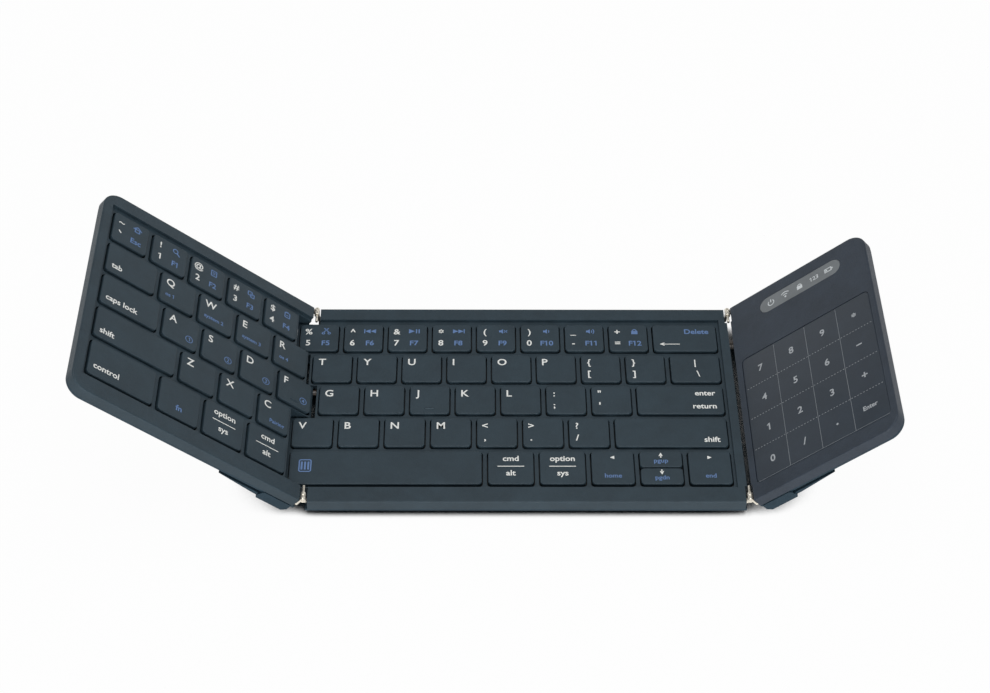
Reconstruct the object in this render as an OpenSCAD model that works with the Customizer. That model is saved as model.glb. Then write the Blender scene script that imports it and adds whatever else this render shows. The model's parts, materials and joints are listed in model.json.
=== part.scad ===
// Tri-fold pocket keyboard: a centre panel with a key wing hinged on its left
// and a touch number pad wing hinged on its right.
// Every part is drawn in the flat, fully open keyboard. x runs to the right from
// the middle of the centre panel, y runs to the back and z is the height above
// the table. The wings are then raised about their hinge axes.

/* [Keys] */
// Distance from one key to the next in a row
key_pitch = 17; // [16:0.1:19]
// Distance from one row to the next
row_pitch = 16.25; // [15.5:0.05:18]
// Space between two key caps
key_gap = 2.3; // [1.8:0.1:2.6]
// Space between a key cap and its hole in the deck
hole_gap = 0.45; // [0.3:0.05:0.6]
// Corner radius of a key cap
cap_r = 1.5; // [0.8:0.1:2]
// Height of a key cap from its lower edge to its top
cap_h = 2.2; // [2:0.1:2.8]
// Thickness of a key cap's top
cap_top_t = 1; // [0.7:0.1:1.2]
// Thickness of a key cap's side walls
cap_wall = 0.9; // [0.6:0.1:1.1]
// Width and height of the step round a key cap's top edge
cap_step = 0.18; // [0.1:0.02:0.3]
// How far a key goes down
key_travel = 1.4; // [1:0.1:1.8]
// Depth of the key caps in the bottom row
bottom_cap_d = 15.65; // [14:0.05:18]
// Width of the option and command keys
mod_w = 16.5; // [14:0.1:18]
// Width of the arrow keys
arrow_w = 15.4; // [13:0.1:17]
// Space between the up and down arrow keys
arrow_split = 0.5; // [0.4:0.1:1]
// Width of the backspace key
backspace_w = 24.4; // [18:0.1:34]
// Width of the key at the left end of the number row
grave_w = 14.7; // [12:0.1:22]
// Width of the C key, which stands at the left seam
c_key_w = 13.3; // [12.5:0.1:14]

/* [Seam between the left wing and the centre] */
// How far the number row and the two front rows reach over the left hinge axis
reach_far = 5.8; // [4:0.1:7]
// How far the second row reaches over the left hinge axis
reach_near = 0.1; // [0:0.1:1]
// How far the third row stays back from the left hinge axis
hold_back = 3.2; // [2:0.1:4]
// Deck left between a key hole and the seam
seam_web = 0.8; // [0.5:0.1:1.2]
// Gap between the two panels at the left seam
seam_gap = 0.3; // [0.25:0.05:0.5]

/* [Panels] */
// From the back edge of the panels to the number row
back_border = 8.75; // [8:0.25:12]
// From the front edge of the panels to the bottom row
front_border = 8.6; // [8.4:0.2:12]
// From the last key of the centre panel to the right hinge axis
right_border = 5.4; // [4.5:0.1:9]
// From the first key of the left wing to its outer edge
outer_border = 5.2; // [5:0.1:9]
// Corner radius of the wings' outer corners
corner_r = 7; // [5:0.5:9]
// Rounding of the deck's outer edge
edge_r_top = 0.6; // [0.4:0.1:1.4]
// Rounding of the bottom shells' outer edge
edge_r_bottom = 2.1; // [1:0.1:2.1]
// Height of the bottom shells
shell_h = 2.4; // [2.2:0.1:2.4]
// How far the bottom shells stand in from the deck frames
shell_inset = 0.3; // [0.1:0.05:0.6]
// Wall thickness of the frames and shells
wall = 1.2; // [1:0.1:1.6]
// Thickness of the bottom shells' floor
floor_t = 1; // [0.8:0.1:1.2]
// Depth of the key well below the rim
well_depth = 1.2; // [0.8:0.1:1.4]
// Thickness of the deck between the keys
deck_t = 1.2; // [0.8:0.1:1.5]
// Width of the well's floor behind the number row
well_back = 2.75; // [1.5:0.25:3]
// Width of the well's floor beside and in front of the keys
well_side = 1.5; // [1:0.1:2.5]
// Gap between the faces of the folded panels
fold_gap = 0.3; // [0.2:0.05:0.6]
// How far the key tops stand below the rim
cap_drop = 0.1; // [0.05:0.05:0.3]

/* [Key plate] */
// Height of the supports under the key plate
plate_lift = 0.6; // [0.4:0.1:1]
// Thickness of the steel key plate
plate_t = 0.5; // [0.3:0.1:0.8]
// Thickness of the switch membrane
membrane_t = 0.3; // [0.2:0.05:0.5]
// Space left below a key cap that is pressed right down
press_gap = 0.3; // [0.2:0.05:0.5]
// Clearance round loose inner parts
fit_gap = 0.2; // [0.1:0.05:0.3]
// Radius of a rubber dome's foot
dome_r = 2.5; // [2:0.1:2.7]
// Length of a scissor frame
scissor_l = 10.5; // [9:0.1:11]
// Outer width of the inner scissor frame
scissor_w = 8.4; // [8:0.1:8.8]
// Width of a scissor frame's bars
scissor_bar = 1.2; // [0.8:0.1:1.3]
// Thickness of a scissor frame
scissor_t = 0.6; // [0.4:0.1:0.8]

/* [Right wing] */
// Width of one cell of the touch number pad
pad_cell_w = 13.9; // [12:0.1:14.4]
// Depth of one cell of the touch number pad
pad_cell_d = 15; // [13:0.5:16]
// Border of the touch pad sheet round its cells
pad_border = 0.6; // [0.2:0.1:1]
// From the right hinge axis to the first column of cells
pad_start = 4.2; // [4:0.1:5]
// From the last column of cells to the wing's outer edge
pad_end = 3.1; // [3:0.1:6]
// From the front edge of the wing to the front row of cells
pad_front = 7.1; // [6.5:0.1:8]
// Thickness of the touch pad sheet
pad_t = 0.9; // [0.6:0.1:1]
// Thickness of the touch sensor board
sensor_t = 0.8; // [0.5:0.1:1]
// Width of the ledge that carries the touch pad sheet
ledge = 2; // [1:0.1:3]
// Length of the indicator window
window_l = 36.6; // [30:0.2:40]
// Width of the indicator window
window_w = 7.2; // [5:0.1:8]
// From the right hinge axis to the middle of the indicator window
window_s = 33; // [31:0.5:34]
// From the back edge of the wing to the middle of the indicator window
window_back = 9.6; // [9.5:0.1:12]
// Edge of the centre panel's right side, short of the hinge axis
right_seam_centre = 0.6; // [0.3:0.1:0.9]
// Edge of the right wing, past the hinge axis
right_seam_wing = 0.9; // [0.3:0.1:1.1]

/* [Electronics] */
// Thickness of the main board
board_t = 0.8; // [0.6:0.1:1]
// Depth of the main board, from front to back
board_d = 20; // [18:0.5:22]
// Width of the main board
board_w = 48; // [44:1:50]
// Thickness of the battery
battery_t = 2.4; // [1.5:0.1:3]
// Width of the battery
battery_w = 46; // [30:1:50]
// Depth of the battery, from front to back
battery_d = 52; // [30:1:54]
// Width of the charging socket
port_w = 7.6; // [7:0.1:9]
// Height of the charging socket
port_h = 2.6; // [2.2:0.1:2.8]
// Depth of the charging socket
port_d = 5; // [4.8:0.1:7]
// Wall of the charging socket
port_wall = 0.3; // [0.2:0.05:0.4]
// From the right hinge axis to the middle of the charging socket
port_s = 40; // [34:1:44]
// Width of the ribbon cables
flex_w = 5; // [4:0.1:5.2]
// Thickness of the ribbon cables
flex_t = 0.15; // [0.1:0.05:0.2]
// Length of ribbon cable inside each panel
flex_l = 11; // [10:0.5:11.5]
// Bend radius of the ribbon cables
flex_r = 2; // [1:0.25:2.5]

/* [Hinges] */
// Radius of a hinge pin
pin_r = 0.5; // [0.4:0.05:0.6]
// Radial clearance of a hinge pin in its knuckles
pin_clear = 0.05; // [0.02:0.01:0.1]
// Outer radius of a hinge knuckle
knuckle_r = 1; // [0.9:0.05:1.1]
// Length of a hinge knuckle
knuckle_l = 1.7; // [1.2:0.1:1.8]
// Gap between the two knuckles of a hinge
knuckle_gap = 0.15; // [0.1:0.05:0.3]
// Length of hinge pin that stands bare on the inner side of the knuckles
pin_bare = 3.4; // [1:0.2:3.4]
// How far the hinge stands in from the panels' front and back edges
hinge_inset = 0.4; // [0.2:0.1:0.6]
// Thickness of a hinge leaf
leaf_t = 0.75; // [0.5:0.05:0.8]
// Length of a hinge leaf inside its panel
leaf_l = 7; // [5:0.5:9]
// Half the width of the notch round a hinge
notch = 1.4; // [1.3:0.1:1.8]
// Height of the hinge housings under the wings, and of the feet
foot_h = 2; // [1.5:0.1:3]
// Length of a hinge housing along the wing
housing_l = 12.8; // [8:0.2:16]
// How far a hinge housing stands out from the front and back faces
housing_proud = 0.15; // [0.05:0.05:0.3]
// Height of the groove between a hinge housing and the top frame
housing_groove = 0.35; // [0.2:0.05:0.6]
// Length of the ramp from a hinge housing to the flat underside
ramp_l = 15; // [6:1:16]

/* [Feet and screws] */
// Radius of a rubber foot
foot_r = 4; // [3:0.5:5]
// Depth of the recess that a foot sits in
foot_seat = 0.3; // [0.2:0.1:0.4]
// From the edges of a panel to the middle of its feet
foot_in = 12; // [11:1:16]
// Radius of a screw's thread
screw_r = 0.8; // [0.6:0.05:0.9]
// Radius of a screw's head
screw_head_r = 1.4; // [1.2:0.1:1.6]
// Height of a screw's head
screw_head_h = 0.7; // [0.5:0.1:0.8]
// Length of a screw below its head
screw_l = 3.6; // [3:0.1:4]
// Clearance of a screw in its holes
screw_clear = 0.1; // [0.05:0.05:0.2]
// Wall of a screw boss
boss_wall = 0.9; // [0.7:0.1:1]

/* [Rest pose] */
// Angle of the left wing above the table
left_angle = 40; // [5:1:60]
// Angle of the right wing above the table
right_angle = 41.5; // [5:0.5:60]

/* [Hidden] */
$fn = 32;
eps = 0.01;

// Heights above the table
floor_top = foot_h + floor_t;
part_z = foot_h + shell_h;
plate_z = floor_top + plate_lift;
membrane_z = plate_z + plate_t;
membrane_top = membrane_z + membrane_t;
cap_low = membrane_top + press_gap + key_travel;
cap_top = cap_low + cap_h;
rim_z = cap_top + cap_drop;
axis_z = rim_z + fold_gap / 2;
deck_z = rim_z - well_depth;
deck_low = deck_z - deck_t;
cap_ceiling = cap_top - cap_top_t;

// Key caps and rows
cap_w = key_pitch - key_gap;
cap_d = row_pitch - key_gap;
panel_d = back_border + 4 * row_pitch + bottom_cap_d + front_border;
back_y = panel_d / 2;
number_row = 0;
bottom_row = 4;
function row_back(row) = back_y - back_border - row * row_pitch;
function row_depth(row) = row == bottom_row ? bottom_cap_d : cap_d;
function row_front(row) = row_back(row) - row_depth(row);

// The left end of each row on the centre panel, from the left hinge axis
row_start = [-reach_far, -reach_near, hold_back, -reach_far, -reach_far];
seam_key_gap = 2 * (hole_gap + seam_web) + seam_gap;

// Panel widths. The keys at the ends of the rows fill what is left
centre_w = row_start[number_row] + 8 * key_pitch + backspace_w + right_border;
left_w = reach_far + seam_key_gap + 4 * key_pitch + grave_w + outer_border;
pad_w = 4 * pad_cell_w;
pad_d = 4 * pad_cell_d;
right_w = pad_start + pad_w + pad_end;
left_axis = -centre_w / 2;
right_axis = centre_w / 2;
keys_right = right_axis - right_border;
keys_left = left_axis - left_w + outer_border;
left_edge = left_axis - left_w;
right_edge = right_axis + right_w;

// The bottom row of the centre panel, worked out from its right end
arrow_x = [for (i = [0:2]) keys_right - arrow_w - (2 - i) * (arrow_w + key_gap)];
centre_mod_x = [for (i = [0:1]) arrow_x[0] - (2 - i) * (mod_w + key_gap)];
half_cap_d = (bottom_cap_d - arrow_split) / 2;

// A key is [left, front, width, depth]
function centre_key(row, i) =
    [left_axis + row_start[row] + i * key_pitch, row_front(row), cap_w, row_depth(row)];
function centre_end_key(row, i) =
    let (x = left_axis + row_start[row] + i * key_pitch)
    [x, row_front(row), keys_right - x, row_depth(row)];
function left_key_right(row, i, step) = left_axis + row_start[row] - seam_key_gap - i * step;
// The keys beyond the C key stand closer to the seam by what that key saves
c_row = 3;
function saving(row, i) = row == c_row && i > 0 ? cap_w - c_key_w : 0;
function left_key(row, i) =
    let (w = row == c_row && i == 0 ? c_key_w : cap_w)
    [left_key_right(row, i, key_pitch) + saving(row, i) - w, row_front(row), w, row_depth(row)];
function left_end_key(row, i, step) =
    [keys_left, row_front(row),
     left_key_right(row, i, step) + saving(row, i) - keys_left, row_depth(row)];
function left_mod_key(i) =
    [left_key_right(bottom_row, i, mod_w + key_gap) - mod_w, row_front(bottom_row),
     mod_w, bottom_cap_d];
function bottom_key(x, w) = [x, row_front(bottom_row), w, bottom_cap_d];

keys_left_number = concat([for (i = [3:-1:0]) left_key(0, i)], [left_end_key(0, 4, key_pitch)]);
keys_left_shift = [left_end_key(3, 3, key_pitch)];
keys_left_control = [left_end_key(bottom_row, 3, mod_w + key_gap), left_mod_key(2)];
space_x = left_axis + row_start[bottom_row];
keys_space = [bottom_key(space_x, centre_mod_x[0] - key_gap - space_x)];
key_up = [arrow_x[1], row_front(bottom_row) + half_cap_d + arrow_split, arrow_w, half_cap_d];
key_down = [arrow_x[1], row_front(bottom_row), arrow_w, half_cap_d];
arrow_pair = [bottom_key(arrow_x[1], arrow_w)];

left_keys = concat(
    keys_left_number,
    [for (row = [1:2], i = [0:3]) left_key(row, i)],
    [left_end_key(1, 4, key_pitch), left_end_key(2, 4, key_pitch)],
    [for (i = [0:2]) left_key(3, i)], keys_left_shift,
    [for (i = [0:1]) left_mod_key(i)], keys_left_control);
centre_full_keys = concat(
    [for (i = [0:7]) centre_key(0, i)], [centre_end_key(0, 8)],
    [for (i = [0:7]) centre_key(1, i)], [centre_end_key(1, 8)],
    [for (i = [0:6]) centre_key(2, i)], [centre_end_key(2, 7)],
    [for (i = [0:6]) centre_key(3, i)], [centre_end_key(3, 7)],
    keys_space, [for (x = centre_mod_x) bottom_key(x, mod_w)],
    [bottom_key(arrow_x[0], arrow_w), bottom_key(arrow_x[2], arrow_w)]);

// The left seam runs in steps round the rows' ends. Each step has its distance
// from the left axis, and the steps meet halfway between two rows
seam_x = [0, for (row = [0:3]) row_start[row] - seam_key_gap / 2, 0];
seam_end = hole_gap + seam_web + seam_gap / 2;
seam_y = [row_back(0) + seam_end, for (row = [0:2]) row_front(row) - key_gap / 2,
          row_front(bottom_row) - seam_end];
// The seam moved to the right by a distance, square to itself all along
function seam_point(i, j, move) =
    [left_axis + seam_x[i] + move, seam_y[j] + move * sign(seam_x[j + 1] - seam_x[j])];
function seam_line(move, y_end) = concat(
    [[left_axis + move, y_end]],
    [for (j = [0:4], i = [j, j + 1]) seam_point(i, j, move)],
    [[left_axis + move, -y_end]]);

// The wells round the key fields
well_y = [row_front(bottom_row) - well_side, row_back(0) + well_back];
rim_rib = 0.6;

// How far a wing's hollow reaches into the round corners at its outer end
corner_room = 2;

// Screw places in each panel, from the panel's hinge axis
screw_y = back_y - wall - shell_inset - screw_clear - screw_r - boss_wall - 0.2;
centre_screw_x = [left_axis + 12, 0, right_axis - 12];
wing_screw_in = 24;
outer_screw_in = 4;
left_screw_x = [left_axis - wing_screw_in, left_edge + corner_r + outer_screw_in];
right_screw_x = [right_axis + wing_screw_in, right_edge - corner_r - outer_screw_in];
boss_r = screw_r + screw_clear + boss_wall;

// Main board and the parts on it
board_z = floor_top + plate_lift;
board_top = board_z + board_t;
board_x = right_axis + window_s - board_w / 2;
board_back = screw_y - boss_r - fit_gap;
board_y = board_back - board_d;
window_y = back_y - window_back;
port_x = right_axis + port_s;
sensor_low = rim_z - cap_drop - pad_t - sensor_t;
flange = 0.8;
led_pitch = 6.6;

// Each chip's distance from the board's left and front edges, its width, depth and height
chips = [[10, 1, 6, 6, 0.8], [22, 2, 4, 2, 0.7]];
board_peg_r = 0.7;

// Ribbon cables lie on the membranes and on the main board
flex_lift = 0.1;
flex_mid = membrane_top + flex_lift + flex_t / 2;
left_flex_y = row_front(1) - key_gap / 2;
right_flex_y = board_back - board_d / 2;
flex_slot = 1.2;

plate_y = well_y[1];
hollow_left = left_edge + shell_inset + 2 * wall;
plate_left = hollow_left + fit_gap;

black_shell = "#2b333a";
black_deck = "#343c43";
black_key = "#2e353c";
steel = "#d9d5c9";

// ---- Helpers ----

// Raise what is drawn in the flat left wing to its rest angle
module in_left_wing() {
    translate([left_axis, 0, axis_z])
        rotate([0, left_angle, 0])
            translate([-left_axis, 0, -axis_z])
                children();
}

// Raise what is drawn in the flat right wing to its rest angle
module in_right_wing() {
    translate([right_axis, 0, axis_z])
        rotate([0, -right_angle, 0])
            translate([-right_axis, 0, -axis_z])
                children();
}

// A box from its low corner to its high corner
module box(low, high) {
    translate(low) cube(high - low);
}

// A flat rectangle with round corners
module round_rect(w, d, r) {
    translate([r, 0]) square([w - 2 * r, d]);
    translate([0, r]) square([w, d - 2 * r]);
    for (x = [r, w - r], y = [r, d - r])
        translate([x, y]) circle(r);
}

// Half of a slab's cross-section, round at its outer top or bottom edge
module edge_profile(w, h, r_top, r_bottom) {
    r_in = max(r_top, r_bottom);
    square([w - r_in, h]);
    translate([0, r_bottom]) square([w, h - r_top - r_bottom]);
    if (r_top > 0) {
        square([w - r_top, h]);
        translate([w - r_top, h - r_top]) circle(r_top);
    }
    if (r_bottom > 0)
        intersection() {
            translate([w - r_bottom, r_bottom]) circle(r_bottom);
            translate([w - 2 * r_bottom, 0]) square([2 * r_bottom, h]);
        }
}

// A slab along x, rounded at its front and back edges
module strip_slab(x_low, x_high, half_d, h, r_top, r_bottom) {
    for (side = [0, 1])
        mirror([0, side, 0])
            translate([x_low, 0, 0])
                rotate([90, 0, 90])
                    linear_extrude(x_high - x_low)
                        edge_profile(half_d, h, r_top, r_bottom);
}

// A slab from x_in to its outer edge, with two rounded outer corners.
// It is drawn towards +x
module wing_slab(x_in, x_out, half_d, h, r_top, r_bottom, r_corner) {
    strip_slab(x_in, x_out - r_corner, half_d, h, r_top, r_bottom);
    straight = half_d - r_corner;
    translate([x_out - r_corner - eps, straight, 0])
        rotate([90, 0, 0])
            linear_extrude(2 * straight)
                edge_profile(r_corner + eps, h, r_top, r_bottom);
    for (side = [0, 1])
        mirror([0, side, 0])
            translate([x_out - r_corner, straight, 0])
                rotate_extrude(angle = 90)
                    edge_profile(r_corner, h, r_top, r_bottom);
}

// The ground plan of the centre panel, with its sides moved in
module centre_plan(move, y_end) {
    right = right_axis - right_seam_centre - move;
    polygon(concat(seam_line(seam_gap / 2 + move, y_end), [[right, -y_end], [right, y_end]]));
}

// The ground plan of the left wing, with its seam side moved out
module left_plan(move, y_end, x_out) {
    polygon(concat(seam_line(-seam_gap / 2 - move, y_end), [[x_out, -y_end], [x_out, y_end]]));
}

// The holes in a deck for a list of keys
module key_holes(keys) {
    for (key = keys)
        translate([key[0] - hole_gap, key[1] - hole_gap, part_z - 1])
            linear_extrude(rim_z - part_z + 2)
                round_rect(key[2] + 2 * hole_gap, key[3] + 2 * hole_gap, cap_r);
}

// One hollow key cap with a fine step round its top
module key_cap(key) {
    translate([key[0], key[1], cap_low])
        difference() {
            union() {
                linear_extrude(cap_h - cap_step)
                    round_rect(key[2], key[3], cap_r);
                translate([cap_step, cap_step, 0])
                    linear_extrude(cap_h)
                        round_rect(key[2] - 2 * cap_step, key[3] - 2 * cap_step, cap_r - cap_step);
            }
            box([cap_wall, cap_wall, -1],
                [key[2] - cap_wall, key[3] - cap_wall, cap_h - cap_top_t]);
        }
}

module key_caps(keys) {
    color(black_key)
        for (key = keys) key_cap(key);
}

// One rubber dome under the middle of each key
module domes(keys) {
    color("silver")
        for (key = keys)
            translate([key[0] + key[2] / 2, key[1] + key[3] / 2, membrane_top]) {
                foot = 0.3;
                rise = cap_ceiling - membrane_top - 0.05;
                cylinder(r = min(dome_r, key[3] / 2 - cap_wall - fit_gap), h = foot);
                cylinder(r1 = dome_r * 0.85, r2 = dome_r * 0.5, h = rise);
            }
}

// A tilted scissor frame
module scissor_frame(w, tilt) {
    rotate([tilt, 0, 0])
        difference() {
            box([-w / 2, -scissor_l / 2, -scissor_t / 2], [w / 2, scissor_l / 2, scissor_t / 2]);
            box([-w / 2 + scissor_bar, -scissor_l / 2 + scissor_bar, -1],
                [w / 2 - scissor_bar, scissor_l / 2 - scissor_bar, 1]);
        }
}

// Two crossed scissor frames under the middle of each key
module scissors(keys) {
    room = cap_ceiling - membrane_top - 0.1;
    tilt = asin((room - scissor_t * 1.2) / scissor_l);
    color("whitesmoke")
        for (key = keys)
            translate([key[0] + key[2] / 2, key[1] + key[3] / 2, membrane_top + 0.05 + room / 2]) {
                scissor_frame(scissor_w, tilt);
                scissor_frame(scissor_w + 2 * (scissor_bar + fit_gap), -tilt);
            }
}

// Supports under a key plate at a list of places
module plate_supports(xs, ys) {
    for (x = xs, y = ys)
        translate([x, y, foot_h]) cylinder(r = 2.5, h = floor_t + plate_lift);
}

// Screw bosses on a shell's floor, and below a frame's deck
module shell_bosses(xs) {
    for (x = xs, y = [-screw_y, screw_y])
        translate([x, y, foot_h]) cylinder(r = boss_r, h = shell_h);
}

module frame_bosses(xs) {
    for (x = xs, y = [-screw_y, screw_y])
        translate([x, y, part_z]) cylinder(r = boss_r, h = rim_z - part_z - 0.5);
}

screw_seat = foot_h + screw_head_h + 0.2;

// Screw holes with a recess for the head below
module shell_screw_holes(xs) {
    for (x = xs, y = [-screw_y, screw_y])
        translate([x, y, foot_h]) {
            translate([0, 0, -1]) cylinder(r = screw_r + screw_clear, h = shell_h + 2);
            translate([0, 0, -1])
                cylinder(r = screw_head_r + screw_clear, h = screw_seat - foot_h + 1);
        }
}

module frame_screw_holes(xs) {
    for (x = xs, y = [-screw_y, screw_y])
        translate([x, y, part_z - 1])
            cylinder(r = screw_r + screw_clear / 2, h = screw_seat + screw_l + 0.3 - part_z + 1);
}

// Pan head screws with a cross recess
module screws(xs) {
    color(steel)
        for (x = xs, y = [-screw_y, screw_y])
            translate([x, y, screw_seat])
                difference() {
                    union() {
                        cylinder(r = screw_r, h = screw_l);
                        translate([0, 0, -screw_head_h]) cylinder(r = screw_head_r, h = screw_head_h);
                    }
                    for (turn = [0, 90])
                        rotate(turn)
                            translate([0, 0, -screw_head_h])
                                cube([1.5, 0.35, 0.7], center = true);
                }
}

// Rubber feet at a list of places, and the recesses they sit in
module feet(places) {
    color("dimgray")
        for (p = places)
            translate([p[0], p[1], 0]) cylinder(r = foot_r, h = foot_h + foot_seat);
}

module foot_seats(places) {
    for (p = places)
        translate([p[0], p[1], foot_h - 1]) cylinder(r = foot_r + fit_gap / 2, h = 1 + foot_seat);
}

// ---- Hinges, drawn about an axis at x = 0 with their panel towards +x ----

hinge_out = back_y - hinge_inset;
wing_knuckle_y = hinge_out - knuckle_l;
centre_knuckle_y = wing_knuckle_y - knuckle_gap - knuckle_l;
pin_in = centre_knuckle_y - pin_bare;
leaf_top = deck_low;

// One leaf with its knuckle, whose low end is at y_low
module hinge_leaf(y_low) {
    translate([0, y_low + knuckle_l, 0])
        rotate([90, 0, 0])
            linear_extrude(knuckle_l)
                difference() {
                    union() {
                        translate([0, axis_z]) circle(knuckle_r);
                        translate([knuckle_r - leaf_t, leaf_top - leaf_t])
                            square([leaf_t, axis_z - leaf_top + leaf_t]);
                        translate([knuckle_r - leaf_t, leaf_top - leaf_t]) square([leaf_l, leaf_t]);
                    }
                    translate([0, axis_z]) circle(pin_r + pin_clear);
                }
}

// The room a hinge needs in a top frame: an open notch, and a slot for the leaf
module hinge_room(y_low) {
    for (side = [0, 1])
        mirror([0, side, 0]) {
            box([-notch, pin_in - fit_gap, part_z - 1], [notch, back_y + 1, axis_z + 2]);
            box([0, y_low - fit_gap, leaf_top - leaf_t - fit_gap],
                [knuckle_r - leaf_t + leaf_l + fit_gap, y_low + knuckle_l + fit_gap, leaf_top]);
        }
}

// Blocks in a bottom shell that press the leaves against the deck
module leaf_blocks(y_low) {
    for (side = [0, 1])
        mirror([0, side, 0])
            box([knuckle_r + wall + 0.5, y_low, foot_h],
                [knuckle_r - leaf_t + leaf_l,
                 min(y_low + knuckle_l, back_y - wall - fit_gap), leaf_top - leaf_t]);
}

// A pair of leaves, one at each end of the seam
module leaf_pair(y_low) {
    color(steel)
        for (side = [0, 1])
            mirror([0, side, 0]) hinge_leaf(y_low);
}

// The housing round a wing's hinge. Its front plate rises to a groove under the top
// frame, and a ramp leads from it to the flat underside
module hinge_housing() {
    start = 2;
    top = part_z - housing_groove;
    slope = foot_h * 0.8;
    stop = start + housing_l;
    for (side = [0, 1])
        mirror([0, side, 0])
            translate([0, back_y + housing_proud, 0])
                rotate([90, 0, 0]) {
                    linear_extrude(housing_proud + shell_inset + wall)
                        polygon([[start, top], [start, slope], [start + slope, 0], [stop - slope / 4, 0],
                                 [stop, slope / 3], [stop - slope / 2, top - slope / 3],
                                 [stop - slope, top]]);
                    linear_extrude(back_y + housing_proud - pin_in)
                        polygon([[start, foot_h + eps], [start, slope], [start + slope, 0],
                                 [stop - slope / 4, 0], [stop, slope / 3], [stop, foot_h + eps]]);
                    translate([0, 0, housing_proud + hinge_inset])
                        linear_extrude(hinge_out - pin_in)
                            polygon([[stop - 1, foot_h + eps], [stop - 1, slope / 2],
                                     [stop + 2, slope / 2], [stop + 2 + ramp_l, foot_h + eps]]);
                }
}

// ---- Centre panel ----

// The centre panel's outer form, between two heights
module centre_form(z_low, z_high, inset, r_top, r_bottom) {
    intersection() {
        translate([0, 0, z_low])
            strip_slab(left_axis - 10, right_axis + 10, back_y - inset, z_high - z_low, r_top, r_bottom);
        translate([0, 0, z_low - 1])
            linear_extrude(z_high - z_low + 2) centre_plan(inset, back_y + 1);
    }
}

centre_support_x = [for (i = [-2:2]) i * centre_w / 6];
support_y = [row_front(0) - key_gap / 2, row_front(3) - key_gap / 2];
centre_feet_places = concat(
    [for (x = [left_axis + foot_in, right_axis - foot_in], y = [-1, 1]) [x, y * (back_y - foot_in)]],
    [[0, 0]]);

module centre_bottom_shell() {
    color(black_shell)
        difference() {
            union() {
                difference() {
                    centre_form(foot_h, part_z, shell_inset, 0, edge_r_bottom);
                    translate([0, 0, floor_top])
                        linear_extrude(shell_h)
                            centre_plan(shell_inset + wall, back_y - shell_inset - wall);
                }
                shell_bosses(centre_screw_x);
                plate_supports(centre_support_x, support_y);
                translate([left_axis, 0, 0]) leaf_blocks(centre_knuckle_y);
                translate([right_axis, 0, 0]) mirror([1, 0, 0]) leaf_blocks(centre_knuckle_y);
            }
            shell_screw_holes(centre_screw_x);
            foot_seats(centre_feet_places);
            flex_slots();
        }
}

module centre_top_frame() {
    well_right = keys_right + well_side;
    color(black_deck)
        difference() {
            union() {
                difference() {
                    centre_form(part_z, rim_z, 0, edge_r_top, 0);
                    translate([0, 0, part_z - 1])
                        linear_extrude(deck_low - part_z + 1) centre_plan(wall, back_y - wall);
                }
                frame_bosses(centre_screw_x);
                for (y = [-plate_y, plate_y - rim_rib])
                    box([left_axis + 10, y, membrane_top], [right_axis - 10, y + rim_rib, deck_low + eps]);
            }
            box([left_axis - 20, well_y[0], deck_z], [well_right, well_y[1], rim_z + 1]);
            key_holes(concat(centre_full_keys, arrow_pair));
            frame_screw_holes(centre_screw_x);
            translate([left_axis, 0, 0]) hinge_room(centre_knuckle_y);
            translate([right_axis, 0, 0]) mirror([1, 0, 0]) hinge_room(centre_knuckle_y);
            flex_slots();
        }
}

// What is drawn, cut off at the same distance in front and at the back
module cut_to_depth(half_d) {
    intersection() {
        children();
        box([left_edge - 1, -half_d, 0], [right_edge + 1, half_d, axis_z]);
    }
}

module centre_key_plate() {
    color("lightsteelblue")
        cut_to_depth(plate_y)
            translate([0, 0, plate_z])
                linear_extrude(plate_t) centre_plan(shell_inset + wall + fit_gap, back_y);
}

module centre_membrane() {
    color("palegoldenrod")
        cut_to_depth(plate_y - fit_gap)
            translate([0, 0, membrane_z])
                linear_extrude(membrane_t) centre_plan(shell_inset + wall + 2 * fit_gap, back_y);
}

module centre_domes() {
    domes(concat(centre_full_keys, [key_up, key_down]));
}

module centre_scissors() {
    scissors(centre_full_keys);
}

module centre_hinge_leaves() {
    translate([left_axis, 0, 0]) leaf_pair(centre_knuckle_y);
    translate([right_axis, 0, 0]) mirror([1, 0, 0]) leaf_pair(centre_knuckle_y);
}

module hinge_pins() {
    color(steel)
        for (x = [left_axis, right_axis], side = [0, 1])
            mirror([0, side, 0])
                translate([x, hinge_out, axis_z])
                    rotate([90, 0, 0]) cylinder(r = pin_r, h = hinge_out - pin_in);
}

module centre_screws() {
    screws(centre_screw_x);
}

module centre_feet() {
    feet(centre_feet_places);
}

// Openings in the seam walls for the ribbon cables
module flex_slots() {
    for (seam = [[left_axis, left_flex_y], [right_axis, right_flex_y]])
        box([seam[0] - 6, seam[1] - flex_w / 2 - fit_gap, flex_mid - flex_slot / 2],
            [seam[0] + 6, seam[1] + flex_w / 2 + fit_gap, flex_mid + flex_slot / 2]);
}

// A ribbon that bends by the wing's angle, about an axis at x = 0. The centre
// panel is towards +x
module ribbon(angle) {
    steps = 8;
    bend_x = (axis_z - flex_mid - flex_r) * tan(angle / 2);
    function bend(r, t) = [-bend_x - r * sin(t), flex_mid + flex_r - r * cos(t)];
    function in_wing(x, z) =
        [x * cos(angle) + (z - axis_z) * sin(angle), axis_z - x * sin(angle) + (z - axis_z) * cos(angle)];
    low = flex_mid - flex_t / 2;
    high = flex_mid + flex_t / 2;
    translate([0, flex_w / 2, 0])
        rotate([90, 0, 0])
            linear_extrude(flex_w)
                polygon(concat(
                    [[flex_l, low]],
                    [for (i = [0:steps]) bend(flex_r + flex_t / 2, angle * i / steps)],
                    [in_wing(-flex_l, low), in_wing(-flex_l, high)],
                    [for (i = [steps:-1:0]) bend(flex_r - flex_t / 2, angle * i / steps)],
                    [[flex_l, high]]));
}

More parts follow.
